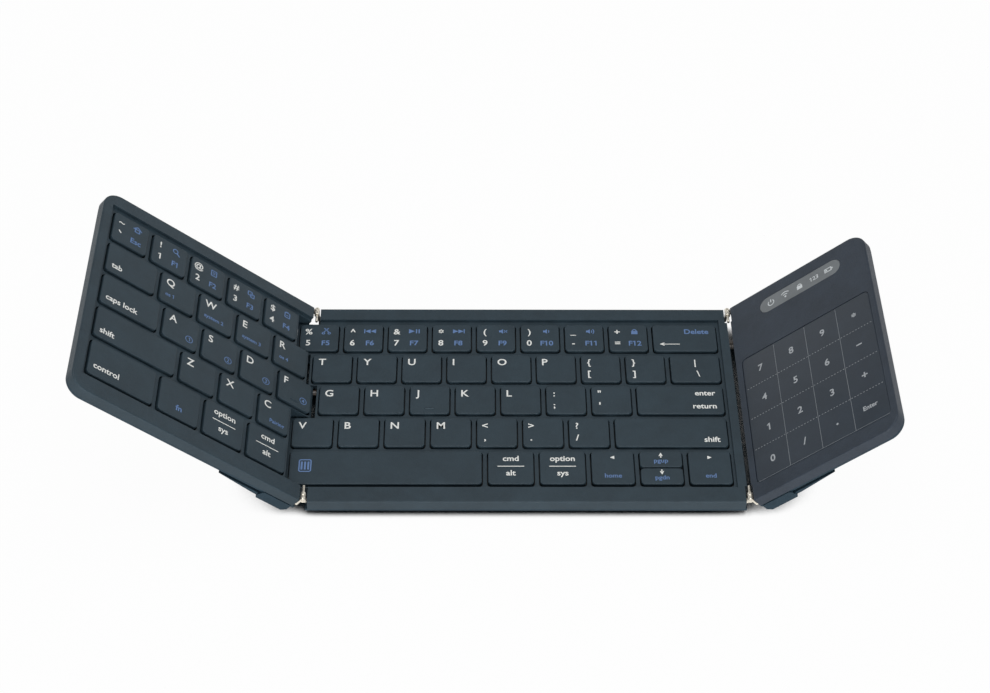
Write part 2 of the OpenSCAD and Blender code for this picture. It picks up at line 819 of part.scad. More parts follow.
module ribbon_cables() {
    color("darkorange") {
        translate([left_axis, left_flex_y, 0]) ribbon(left_angle);
        translate([right_axis, right_flex_y, 0]) mirror([1, 0, 0]) ribbon(right_angle);
    }
}

// ---- Left wing ----

// The left wing's outer form, between two heights
module left_form(z_low, z_high, inset, r_top, r_bottom) {
    intersection() {
        translate([0, 0, z_low])
            mirror([1, 0, 0])
                wing_slab(-left_axis - 10, -left_edge - inset, back_y - inset,
                          z_high - z_low, r_top, r_bottom, corner_r - inset);
        translate([0, 0, z_low - 1])
            linear_extrude(z_high - z_low + 2) left_plan(inset, back_y + 1, left_edge - 10);
    }
}

// The hollow of the left wing, between two heights
module left_hollow(z_low, z_high, inset) {
    translate([0, 0, z_low])
        linear_extrude(z_high - z_low)
            left_plan(inset + wall, back_y - inset - wall, left_edge + corner_r);
    end_y = back_y - corner_r + corner_room;
    box([left_edge + inset + 2 * wall, -end_y, z_low], [left_edge + corner_r + 1, end_y, z_high]);
}

left_support_x = [for (i = [1:3]) left_axis - i * left_w / 4];
left_feet_places = [for (y = [-1, 1]) [left_edge + foot_in, y * (back_y - foot_in)]];

module left_bottom_shell() {
    color(black_shell)
        in_left_wing()
            difference() {
                union() {
                    difference() {
                        left_form(foot_h, part_z, shell_inset, 0, edge_r_bottom);
                        left_hollow(floor_top, part_z + 1, shell_inset);
                    }
                    shell_bosses(left_screw_x);
                    plate_supports(left_support_x, support_y);
                    translate([left_axis, 0, 0])
                        mirror([1, 0, 0]) {
                            hinge_housing();
                            leaf_blocks(wing_knuckle_y);
                        }
                }
                shell_screw_holes(left_screw_x);
                foot_seats(left_feet_places);
                flex_slots();
            }
}

module left_top_frame() {
    color(black_deck)
        in_left_wing()
            difference() {
                union() {
                    difference() {
                        left_form(part_z, rim_z, 0, edge_r_top, 0);
                        left_hollow(part_z - 1, deck_low, 0);
                    }
                    frame_bosses(left_screw_x);
                    for (y = [-plate_y, plate_y - rim_rib])
                        box([left_edge + corner_r + 1, y, membrane_top],
                            [left_axis - 10, y + rim_rib, deck_low + eps]);
                }
                box([keys_left - well_side, well_y[0], deck_z], [left_axis + 20, well_y[1], rim_z + 1]);
                key_holes(left_keys);
                frame_screw_holes(left_screw_x);
                translate([left_axis, 0, 0]) mirror([1, 0, 0]) hinge_room(wing_knuckle_y);
                flex_slots();
            }
}

module left_key_plate() {
    color("lightsteelblue")
        in_left_wing()
            cut_to_depth(plate_y)
                translate([0, 0, plate_z])
                    linear_extrude(plate_t)
                        left_plan(shell_inset + wall + fit_gap, back_y, plate_left);
}

module left_membrane() {
    color("palegoldenrod")
        in_left_wing()
            cut_to_depth(plate_y - fit_gap)
                translate([0, 0, membrane_z])
                    linear_extrude(membrane_t)
                        left_plan(shell_inset + wall + 2 * fit_gap, back_y, plate_left + fit_gap);
}

module left_domes() {
    in_left_wing() domes(left_keys);
}

module left_scissors() {
    in_left_wing() scissors(left_keys);
}

module left_hinge_leaves() {
    in_left_wing() translate([left_axis, 0, 0]) mirror([1, 0, 0]) leaf_pair(wing_knuckle_y);
}

module left_screws() {
    in_left_wing() screws(left_screw_x);
}

module left_feet() {
    in_left_wing() feet(left_feet_places);
}

// ---- Right wing ----

pad_low = [right_axis + pad_start, -back_y + pad_front];
right_feet_places = [for (y = [-1, 1]) [right_edge - foot_in, y * (back_y - foot_in)]];
board_posts = [for (x = [board_x + 3, board_x + board_w - 3], y = [board_y + 3, board_back - 3]) [x, y]];

// The right wing's outer form, between two heights
module right_form(z_low, z_high, inset, r_top, r_bottom) {
    translate([0, 0, z_low])
        wing_slab(right_axis + right_seam_wing + inset, right_edge - inset, back_y - inset,
                  z_high - z_low, r_top, r_bottom, corner_r - inset);
}

// The hollow of the right wing, between two heights
module right_hollow(z_low, z_high, inset) {
    box([right_axis + right_seam_wing + inset + wall, -back_y + inset + wall, z_low],
        [right_edge - corner_r, back_y - inset - wall, z_high]);
    end_y = back_y - corner_r + corner_room;
    box([right_axis + right_seam_wing + inset + wall, -end_y, z_low],
        [right_edge - inset - 2 * wall, end_y, z_high]);
}

module right_bottom_shell() {
    color(black_shell)
        in_right_wing()
            difference() {
                union() {
                    difference() {
                        right_form(foot_h, part_z, shell_inset, 0, edge_r_bottom);
                        right_hollow(floor_top, part_z + 1, shell_inset);
                    }
                    shell_bosses(right_screw_x);
                    for (p = board_posts)
                        translate([p[0], p[1], foot_h]) {
                            cylinder(r = 2, h = board_z - foot_h);
                            cylinder(r = board_peg_r, h = board_top + 0.3 - foot_h);
                        }
                    translate([right_axis, 0, 0]) {
                        hinge_housing();
                        leaf_blocks(wing_knuckle_y);
                    }
                }
                shell_screw_holes(right_screw_x);
                foot_seats(right_feet_places);
                flex_slots();
                port_room();
            }
}

// A capsule along x, about the middle of the indicator window
module capsule(l, w, h) {
    linear_extrude(h) {
        square([l - w, w], center = true);
        for (x = [-1, 1]) translate([x * (l - w) / 2, 0]) circle(w / 2);
    }
}

module right_top_frame() {
    color(black_deck)
        in_right_wing()
            difference() {
                union() {
                    difference() {
                        right_form(part_z, rim_z, 0, edge_r_top, 0);
                        right_hollow(part_z - 1, deck_low, 0);
                    }
                    frame_bosses(right_screw_x);
                }
                translate([pad_low[0] - pad_border - fit_gap / 2, pad_low[1] - pad_border - fit_gap / 2,
                           rim_z - cap_drop - pad_t])
                    linear_extrude(pad_t + 1)
                        round_rect(pad_w + 2 * pad_border + fit_gap, pad_d + 2 * pad_border + fit_gap,
                                   2 + fit_gap / 2);
                box([pad_low[0] + ledge, pad_low[1] + ledge, deck_low - 1],
                    [pad_low[0] + pad_w - ledge, pad_low[1] + pad_d - ledge, rim_z]);
                translate([right_axis + window_s, window_y, deck_low - 1])
                    capsule(window_l + fit_gap, window_w + fit_gap, rim_z - deck_low + 2);
                frame_screw_holes(right_screw_x);
                translate([right_axis, 0, 0]) hinge_room(wing_knuckle_y);
                flex_slots();
                port_room();
            }
}

module touch_number_pad() {
    color("#30383f")
        in_right_wing()
            translate([pad_low[0] - pad_border, pad_low[1] - pad_border, rim_z - cap_drop - pad_t])
                linear_extrude(pad_t)
                    round_rect(pad_w + 2 * pad_border, pad_d + 2 * pad_border, 2);
}

module touch_sensor_board() {
    side = ledge + fit_gap;
    color("darkgreen")
        in_right_wing()
            box([pad_low[0] + side, pad_low[1] + side, sensor_low],
                [pad_low[0] + pad_w - side, pad_low[1] + pad_d - side, sensor_low + sensor_t]);
}

module indicator_window() {
    color("#8a8f93")
        in_right_wing()
            translate([right_axis + window_s, window_y, deck_low - flange]) {
                capsule(window_l, window_w, rim_z - deck_low + flange - cap_drop / 2);
                capsule(window_l + 2 * flange, window_w, flange);
            }
}

module main_board() {
    color("seagreen")
        in_right_wing() {
            difference() {
                union() {
                    box([board_x, board_y, board_z], [board_x + board_w, board_back, board_top]);
                    box([port_x - port_w / 2 - 1, board_back - 1, board_z],
                        [port_x + port_w / 2 + 1, back_y - shell_inset - wall - fit_gap, board_top]);
                }
                for (p = board_posts)
                    translate([p[0], p[1], board_z - 1]) cylinder(r = board_peg_r + 0.1, h = board_t + 2);
            }
            for (chip = chips)
                translate([board_x + chip[0], board_y + chip[1], board_top])
                    cube([chip[2], chip[3], chip[4]]);
            for (i = [-2:2])
                translate([right_axis + window_s + i * led_pitch, window_y, board_top + 0.3])
                    cube([1.6, 0.8, 0.6], center = true);
        }
}

module battery() {
    color("silver")
        in_right_wing()
            translate([right_axis + window_s - battery_w / 2, board_y - 2 - battery_d, floor_top])
                cube([battery_w, battery_d, battery_t]);
}

// The room that the charging socket needs in the shell, the wall and the deck
module port_room() {
    box([port_x - port_w / 2 - fit_gap, window_y + window_w / 2, board_top - fit_gap],
        [port_x + port_w / 2 + fit_gap, back_y + 1, board_top + port_h + fit_gap]);
}

module charging_port() {
    color(steel)
        in_right_wing()
            translate([port_x - port_w / 2, back_y - 0.6 - port_d, board_top])
                difference() {
                    cube([port_w, port_d, port_h]);
                    difference() {
                        box([port_wall, port_wall * 2, port_wall],
                            [port_w - port_wall, port_d + 1, port_h - port_wall]);
                        box([port_w * 0.2, 0, port_h / 2 - 0.3],
                            [port_w * 0.8, port_d - 1.2, port_h / 2 + 0.3]);
                    }
                }
}

module right_hinge_leaves() {
    in_right_wing() translate([right_axis, 0, 0]) leaf_pair(wing_knuckle_y);
}

module right_screws() {
    in_right_wing() screws(right_screw_x);
}

module right_feet() {
    in_right_wing() feet(right_feet_places);
}

// ---- Key caps of the left wing ----

module keys_grave_to_4() { in_left_wing() key_caps(keys_left_number); }
module key_tab() { in_left_wing() key_caps([left_end_key(1, 4, key_pitch)]); }
module keys_q_w() { in_left_wing() key_caps([for (i = [3, 2]) left_key(1, i)]); }
module keys_e_r() { in_left_wing() key_caps([for (i = [1, 0]) left_key(1, i)]); }
module key_caps_lock() { in_left_wing() key_caps([left_end_key(2, 4, key_pitch)]); }
module keys_a_s() { in_left_wing() key_caps([for (i = [3, 2]) left_key(2, i)]); }
module keys_d_f() { in_left_wing() key_caps([for (i = [1, 0]) left_key(2, i)]); }
module key_left_shift() { in_left_wing() key_caps(keys_left_shift); }
module keys_z_x_c() { in_left_wing() key_caps([for (i = [2, 1, 0]) left_key(3, i)]); }
module keys_control_fn() { in_left_wing() key_caps(keys_left_control); }
module keys_option_cmd_left() { in_left_wing() key_caps([for (i = [1, 0]) left_mod_key(i)]); }

// ---- Key caps of the centre panel ----

module keys_5_6_7_8() { key_caps([for (i = [0:3]) centre_key(0, i)]); }
module keys_9_0_minus_equals() { key_caps([for (i = [4:7]) centre_key(0, i)]); }
module key_backspace() { key_caps([centre_end_key(0, 8)]); }
module keys_t_y_u() { key_caps([for (i = [0:2]) centre_key(1, i)]); }
module keys_i_o_p() { key_caps([for (i = [3:5]) centre_key(1, i)]); }
module keys_brackets_backslash() {
    key_caps([centre_key(1, 6), centre_key(1, 7), centre_end_key(1, 8)]);
}
module keys_g_h_j() { key_caps([for (i = [0:2]) centre_key(2, i)]); }
module keys_k_l_semicolon_quote() { key_caps([for (i = [3:6]) centre_key(2, i)]); }
module key_enter() { key_caps([centre_end_key(2, 7)]); }
module keys_v_b_n() { key_caps([for (i = [0:2]) centre_key(3, i)]); }
module keys_m_comma_period_slash() { key_caps([for (i = [3:6]) centre_key(3, i)]); }
module key_right_shift() { key_caps([centre_end_key(3, 7)]); }
module key_space() { key_caps(keys_space); }
module keys_cmd_option_right() { key_caps([for (x = centre_mod_x) bottom_key(x, mod_w)]); }
module key_arrow_left() { key_caps([bottom_key(arrow_x[0], arrow_w)]); }
module key_arrow_up() { key_caps([key_up]); }
module key_arrow_down() { key_caps([key_down]); }
module key_arrow_right() { key_caps([bottom_key(arrow_x[2], arrow_w)]); }

centre_bottom_shell();
centre_top_frame();
centre_key_plate();
centre_membrane();
centre_domes();
centre_scissors();
centre_hinge_leaves();
hinge_pins();
centre_screws();
centre_feet();
ribbon_cables();
left_bottom_shell();
left_top_frame();
left_key_plate();
left_membrane();
left_domes();
left_scissors();
left_hinge_leaves();
left_screws();
left_feet();
right_bottom_shell();
right_top_frame();
touch_number_pad();
touch_sensor_board();
indicator_window();
main_board();
battery();
charging_port();
right_hinge_leaves();
right_screws();
right_feet();
keys_grave_to_4();
key_tab();
keys_q_w();
keys_e_r();
key_caps_lock();
keys_a_s();
keys_d_f();
key_left_shift();
keys_z_x_c();
keys_control_fn();
keys_option_cmd_left();
keys_5_6_7_8();
keys_9_0_minus_equals();
key_backspace();
keys_t_y_u();
keys_i_o_p();
keys_brackets_backslash();
keys_g_h_j();
keys_k_l_semicolon_quote();
key_enter();
keys_v_b_n();
keys_m_comma_period_slash();
key_right_shift();
key_space();
keys_cmd_option_right();
key_arrow_left();
key_arrow_up();
key_arrow_down();
key_arrow_right();
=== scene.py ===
"""Looks of a folding keyboard in three panels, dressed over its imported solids.

The caps, prints and films are drawn in millimetres in the flat, fully open
keyboard, and are then raised with their wing to the place they have at rest.
"""

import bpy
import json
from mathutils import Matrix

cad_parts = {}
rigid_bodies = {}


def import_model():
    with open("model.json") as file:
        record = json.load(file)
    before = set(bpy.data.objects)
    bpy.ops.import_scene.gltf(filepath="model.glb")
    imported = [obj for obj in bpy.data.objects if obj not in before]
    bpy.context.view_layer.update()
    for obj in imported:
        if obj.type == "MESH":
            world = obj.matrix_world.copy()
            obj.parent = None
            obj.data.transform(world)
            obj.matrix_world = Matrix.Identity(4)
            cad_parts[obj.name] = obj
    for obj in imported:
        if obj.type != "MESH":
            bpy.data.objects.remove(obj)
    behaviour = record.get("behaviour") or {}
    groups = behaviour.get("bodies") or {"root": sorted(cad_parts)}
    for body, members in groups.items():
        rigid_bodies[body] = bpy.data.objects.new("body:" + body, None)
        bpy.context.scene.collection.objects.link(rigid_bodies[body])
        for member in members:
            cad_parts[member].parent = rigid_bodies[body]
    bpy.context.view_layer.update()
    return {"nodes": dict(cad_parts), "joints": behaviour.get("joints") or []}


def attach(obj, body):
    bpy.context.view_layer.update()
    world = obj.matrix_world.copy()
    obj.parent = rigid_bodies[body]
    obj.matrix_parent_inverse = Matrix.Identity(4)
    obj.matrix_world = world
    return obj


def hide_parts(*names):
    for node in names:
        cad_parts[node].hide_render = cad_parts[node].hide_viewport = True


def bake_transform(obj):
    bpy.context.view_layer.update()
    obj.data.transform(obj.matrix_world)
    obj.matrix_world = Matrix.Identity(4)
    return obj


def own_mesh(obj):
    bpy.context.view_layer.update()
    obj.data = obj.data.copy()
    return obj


bl_info = {
    "name": "Folding Keyboard",
    "version": (1, 0, 0),
    "blender": (4, 5, 0),
    "location": "3D View > Sidebar > Keyboard",
    "description": "Builds the caps, prints, finishes and stage of a folding keyboard",
    "category": "Object",
}

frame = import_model()

import json
import math
from types import SimpleNamespace

import bmesh
import bpy
from bpy.props import FloatProperty, FloatVectorProperty, PointerProperty
from mathutils import Matrix, Vector

MM = 0.001
PER_MM = 1 / MM


def linear(code):
    """An sRGB hex colour as the linear values that a shader takes."""
    values = [int(code[i:i + 2], 16) / 255 for i in (1, 3, 5)]
    return [v / 12.92 if v <= 0.04045 else ((v + 0.055) / 1.055) ** 2.4 for v in values]


def length(name, description, size_mm):
    """A length that a user can change, given in millimetres and kept in metres."""
    return FloatProperty(name=name, description=description, default=size_mm * MM, min=0,
                         precision=5, unit="LENGTH", subtype="DISTANCE")


def colour(name, description, code):
    return FloatVectorProperty(name=name, description=description, default=linear(code),
                               subtype="COLOR", min=0, max=1, size=3)


def power(name, description, watts):
    return FloatProperty(name=name, description=description, default=watts, min=0, unit="POWER")


def angle(name, description, degrees):
    return FloatProperty(name=name, description=description, default=math.radians(degrees),
                         unit="ROTATION", subtype="ANGLE")


class CapSizes(bpy.types.PropertyGroup):
    corner: length("Corner radius", "Radius of a cap's corners, seen from above", 1.5)
    fillet: length("Edge rounding", "Rounding of a cap's upper edge", 0.3)
    wall: length("Wall", "Thickness of a cap's side walls", 0.9)
    top: length("Top", "Thickness of a cap's top", 1.0)
    bump: length("Homing bump", "Length of the raised line on the F and J caps", 3.8)


class PrintSizes(bpy.types.PropertyGroup):
    ink: length("Ink height", "How far a print stands above the plastic", 0.02)
    letter: length("Letters", "Type size of the letters", 4.6)
    symbol: length("Symbols", "Type size of digits and symbols", 4.1)
    word: length("Words", "Type size of the words", 3.5)
    small: length("Small words", "Type size of the smallest words", 2.4)
    weight: length("Stroke weight", "How much the strokes are thickened on each side", 0.07)
    pad_digit: length("Pad digits", "Type size of the digits on the touch pad", 4.3)
    pad_weight: length("Pad stroke weight", "How much the pad's digits are thickened", 0.09)
    pad_line: length("Pad lines", "Width of the lines on the touch pad", 0.18)


class CaseSizes(bpy.types.PropertyGroup):
    edge: length("Moulded edges", "Width of the softened edges of frames and shells", 0.16)
    metal_edge: length("Metal edges", "Width of the broken edges of leaves, pins and screws", 0.1)
    foot_edge: length("Foot edges", "Width of the round edges of the rubber feet", 0.4)
    film_edge: length("Film edge", "Rounding of the touch film's edge", 0.3)
    film_corner: length("Film corners", "Radius of the touch film's corners", 2.0)
    ribbon: length("Ribbon", "Thickness of the ribbon cables", 0.15)
    ribbon_bend: length("Ribbon bend", "Radius of the ribbons' bend at rest", 2.0)
    spare: length("Spare room", "Room kept between a pressed cap and what is under it", 0.05)


class Finishes(bpy.types.PropertyGroup):
    cap: colour("Key caps", "Colour of the key caps", "#2B3A43")
    deck: colour("Decks", "Colour of the top frames round the keys", "#2B3A43")
    pad_deck: colour("Pad deck", "Colour of the top frame round the touch pad", "#2F3843")
    shell: colour("Shells", "Colour of the bottom shells", "#2B3C47")
    pad: colour("Touch pad", "Colour of the touch number pad", "#2B343E")
    white: colour("White print", "Colour of the main prints", "#F0F0EC")
    blue: colour("Blue print", "Colour of the second prints", "#6280B0")
    pale: colour("Pad digits", "Colour of the digits on the touch pad", "#B2B6BA")
    line: colour("Pad lines", "Colour of the lines on the touch pad", "#858A8F")
    window: colour("Indicator window", "Colour of the indicator window", "#6F7477")
    icon: colour("Window icons", "Colour of the icons in the indicator window", "#DCE0E2")
    plating: colour("Hinge plating", "Colour of the plated hinges", "#EFE8DA")


class StageSettings(bpy.types.PropertyGroup):
    lens: FloatProperty(name="Lens", description="Focal length on a 36 mm sensor", default=73.31,
                        unit="CAMERA")
    pitch: angle("Downward tilt", "Angle of the view below the horizon", 45.773)
    yaw: angle("Turn", "Turn of the view to the right", 0.965)
    roll: angle("Roll", "Roll of the camera", -0.758)
    place: FloatVectorProperty(name="Camera place", description="Where the camera stands",
                               default=(-0.01994, -0.51105, 0.56280), unit="LENGTH",
                               subtype="TRANSLATION", size=3)
    front_sky: FloatProperty(name="Light in front", default=0.5, min=0,
                             description="Strength of the even light from the front")
    back_sky: FloatProperty(name="Light behind", default=0.2, min=0,
                            description="Strength of the even light from behind")
    overhead: power("Overhead lamp", "Power of the lamp above", 7.4)
    front: power("Front lamps", "Power of each of the two low lamps in front", 4.6)


def millimetres(group):
    """All lengths of a group in millimetres, by name."""
    return SimpleNamespace(**{name: getattr(group, name) / MM for name in group.__annotations__})


# ---- Panels and their solids ----

JOINTS = {joint["child"]: joint for joint in frame["joints"]}


def lifted(body):
    """The matrix that raises a wing from the flat keyboard to its place at rest."""
    joint = JOINTS[body]
    # A wing lies flat at its joint's lower limit
    turn = Matrix.Rotation(math.radians(-joint["range_deg"][0]), 4, Vector(joint["axis"]))
    place = Matrix.Translation(Vector(joint["pos_m"]))
    return place @ turn @ place.inverted()


CENTRE, LEFT, RIGHT = Matrix.Identity(4), lifted("left_wing"), lifted("right_wing")


def panel_of(key):
    """The matrix of the panel that a key rides on."""
    return LEFT if JOINTS[key]["parent"] == "left_wing" else CENTRE


def solids(node, panel):
    """The boxes of a node's solids in the flat keyboard, in millimetres, from left to right."""
    mesh = bmesh.new()
    mesh.from_mesh(frame["nodes"][node].data)
    bmesh.ops.remove_doubles(mesh, verts=mesh.verts, dist=1e-6)
    flat = panel.inverted()
    seen, boxes = set(), []
    for start in mesh.verts:
        if start in seen:
            continue
        seen.add(start)
        points, queue = [], [start]
        while queue:
            vert = queue.pop()
            points.append(flat @ vert.co / MM)
            for edge in vert.link_edges:
                other = edge.other_vert(vert)
                if other not in seen:
                    seen.add(other)
                    queue.append(other)
        boxes.append(([min(p[i] for p in points) for i in range(3)],
                      [max(p[i] for p in points) for i in range(3)]))
    mesh.free()
    return sorted(boxes)


# ---- Meshes ----

class Builder:
    """Collects the faces of one piece in millimetres, each with its material."""

    def __init__(self):
        self.mesh = bmesh.new()
        self.materials = []

    def index(self, material):
        if material not in self.materials:
            self.materials.append(material)
        return self.materials.index(material)

    def face(self, points, material):
        made = self.mesh.faces.new([self.mesh.verts.new(p) for p in points])
        made.material_index = self.index(material)

    def flat(self, shapes, height, material):
        """Flat outlines at one height, turned so that they face up."""
        for shape in shapes:
            area = sum(a[0] * b[1] - b[0] * a[1] for a, b in zip(shape, shape[1:] + shape[:1]))
            points = shape if area > 0 else shape[::-1]
            self.face([(x, y, height) for x, y in points], material)

    def skin(self, rings, material, first=True):
        """A smooth skin through rings of as many points each, closed at its last ring."""
        rows = [[self.mesh.verts.new(p) for p in ring] for ring in rings]
        faces = [rows[-1]]
        if first:
            faces.append(rows[0][::-1])
        for low, high in zip(rows, rows[1:]):
            for i in range(len(low)):
                j = (i + 1) % len(low)
                faces.append((low[i], low[j], high[j], high[i]))
        for points in faces:
            made = self.mesh.faces.new(points)
            made.material_index, made.smooth = self.index(material), True
        return rows

    def mesh_data(self, name, matrix):
        """The collected faces as mesh data in metres, with their materials."""
        data = bpy.data.meshes.new(name)
        self.mesh.to_mesh(data)
        self.mesh.free()
        data.transform(matrix @ Matrix.Scale(MM, 4))
        for material in self.materials:
            data.materials.append(bpy.data.materials[material])
        return data

    def piece(self, name, panel, body, slot, *nodes):
        """Turns what was collected into an object that rides on a body."""
        made = bpy.data.objects.new(name, self.mesh_data(name, panel))
        bpy.context.scene.collection.objects.link(made)
        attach(made, body)
        if nodes:
            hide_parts(*nodes)


def round_outline(low, high, radius, steps=6):
    """The points of a rectangle with round corners, against the clock."""
    points = []
    for right, back, turn in ((1, 1, 0), (0, 1, 90), (0, 0, 180), (1, 0, 270)):
        x = high[0] - radius if right else low[0] + radius
        y = high[1] - radius if back else low[1] + radius
        for i in range(steps + 1):
            t = math.radians(turn + 90 * i / steps)
            points.append((x + radius * math.cos(t), y + radius * math.sin(t)))
    return points


def inset_ring(low, high, radius, inset, height):
    """A rounded rectangle at one height, moved in on all sides."""
    outline = round_outline([low[0] + inset, low[1] + inset], [high[0] - inset, high[1] - inset],
                            max(radius - inset, 0.15))
    return [(x, y, height) for x, y in outline]


def rounded_edge(low, high, radius, fillet, steps=4):
    """The rings of a slab's upper edge, from its wall to its flat top."""
    rings = []
    for i in range(steps + 1):
        t = math.radians(90 * i / steps)
        rings.append(inset_ring(low, high, radius, fillet * (1 - math.cos(t)),
                                high[2] - fillet + fillet * math.sin(t)))
    return rings


def part_under(node, panel, boxes):
    """The mesh data of those of a node's solids that lie under some caps."""
    flat, mesh = panel.inverted(), bmesh.new()
    mesh.from_mesh(frame["nodes"][node].data)
    others = []
    for face in mesh.faces:
        x, y, _ = flat @ face.calc_center_median() / MM
        if not any(low[0] < x < high[0] and low[1] < y < high[1] for low, high in boxes):
            others.append(face)
    bmesh.ops.delete(mesh, geom=others, context="FACES")
    data = bpy.data.meshes.new(node)
    mesh.to_mesh(data)
    mesh.free()
    return data


def support_heights(node, panel):
    """The height of the domes' feet and of their tops in the flat keyboard."""
    flat = panel.inverted()
    heights = [(flat @ vert.co).z / MM for vert in frame["nodes"][node].data.vertices]
    return min(heights), max(heights)


# ---- Prints: words and signs as flat shapes ----

type_cache = {}


def typed(text, size, weight):
    """A word as flat faces standing on y = 0."""
    key = (text, size, weight)
    if key not in type_cache:
        curve = bpy.data.curves.new("type", "FONT")
        curve.body, curve.size, curve.offset, curve.resolution_u = text, size, weight, 3
        holder = bpy.data.objects.new("type", curve)
        bpy.context.scene.collection.objects.link(holder)
        bpy.context.view_layer.update()
        graph = bpy.context.evaluated_depsgraph_get()
        data = bpy.data.meshes.new_from_object(holder.evaluated_get(graph))
        points = [(v.co.x, v.co.y) for v in data.vertices]
        type_cache[key] = [[points[i] for i in face.vertices] for face in data.polygons]
        bpy.data.objects.remove(holder)
        bpy.data.curves.remove(curve)
        bpy.data.meshes.remove(data)
    return type_cache[key]


def reach(shapes):
    """The left and right ends of some shapes."""
    xs = [x for shape in shapes for x, _ in shape]
    return min(xs), max(xs)


def flags(text, size, weight):
    """The small slanting flag at the top of each digit 1, which the built-in type lacks."""
    stem = typed("1", size, weight)
    low, high = reach(stem)
    tall = max(y for shape in stem for _, y in shape)
    shapes = []
    for i, sign in enumerate(text):
        if sign == "1":
            x = reach(typed(text[:i + 1], size, weight))[1] - (high - low)
            shapes.append([(x + 0.02, tall), (x - 0.17 * size, tall - 0.12 * size),
                           (x - 0.17 * size, tall - 0.21 * size), (x + 0.02, tall - 0.12 * size)])
    return shapes


def moved(shapes, x, y):
    return [[(px + x, py + y) for px, py in shape] for shape in shapes]


def word(text, x, y, size, weight, align="left"):
    """A word whose left end, middle or right end is at x."""
    shapes = typed(text, size, weight) + flags(text, size, weight)
    low, high = reach(shapes)
    return moved(shapes, x - {"left": low, "centre": (low + high) / 2, "right": high}[align], y)


def disc(x, y, radius, steps=20):
    turns = [math.tau * i / steps for i in range(steps)]
    return [[(x + radius * math.cos(t), y + radius * math.sin(t)) for t in turns]]


def arc(x, y, radius, width, start=0, sweep=360, steps=20):
    """A curved stroke, closed when it sweeps the whole circle."""
    shapes = []
    for i in range(steps):
        a, b = (math.radians(start + sweep * (i + k) / steps) for k in (0, 1))
        corners = ((a, radius), (b, radius), (b, radius - width), (a, radius - width))
        shapes.append([(x + r * math.cos(t), y + r * math.sin(t)) for t, r in corners])
    return shapes


def stroke(x0, y0, x1, y1, width):
    """A straight stroke between two points."""
    size = math.hypot(x1 - x0, y1 - y0)
    nx, ny = -(y1 - y0) / size * width / 2, (x1 - x0) / size * width / 2
    return [[(x0 + nx, y0 + ny), (x0 - nx, y0 - ny), (x1 - nx, y1 - ny), (x1 + nx, y1 + ny)]]


def box_line(x, y, half_w, half_d, radius, width):
    """The outline of a box with round corners, about its middle."""
    outer = round_outline((x - half_w, y - half_d), (x + half_w, y + half_d), radius, 4)
    half_w, half_d, radius = half_w - width, half_d - width, max(radius - width, 0.05)
    inner = round_outline((x - half_w, y - half_d), (x + half_w, y + half_d), radius, 4)
    shapes = []
    for i in range(len(outer)):
        j = (i + 1) % len(outer)
        shapes.append([outer[i], outer[j], inner[j], inner[i]])
    return shapes


def pointer(x, y, size, turn=0):
    """A filled triangle that points right, turned against the clock."""
    t = math.radians(turn)
    corners = ((size * 0.55, 0), (-size * 0.45, size * 0.5), (-size * 0.45, -size * 0.5))
    return [[(x + px * math.cos(t) - py * math.sin(t), y + px * math.sin(t) + py * math.cos(t))
             for px, py in corners]]


def spoke(turn):
    """A stroke of 2 mm through the middle, turned against the clock."""
    x, y = math.cos(math.radians(turn)), math.sin(math.radians(turn))
    return stroke(-x, -y, x, y, 0.5)


SPEAKER = [[(-1.3, -0.5), (-0.6, -0.5), (-0.6, 0.5), (-1.3, 0.5)],
           [(-0.6, -0.5), (0.2, -1.2), (0.2, 1.2), (-0.6, 0.5)]]
QUIETER = SPEAKER + arc(0, 0, 1.1, 0.35, -40, 80, 8)

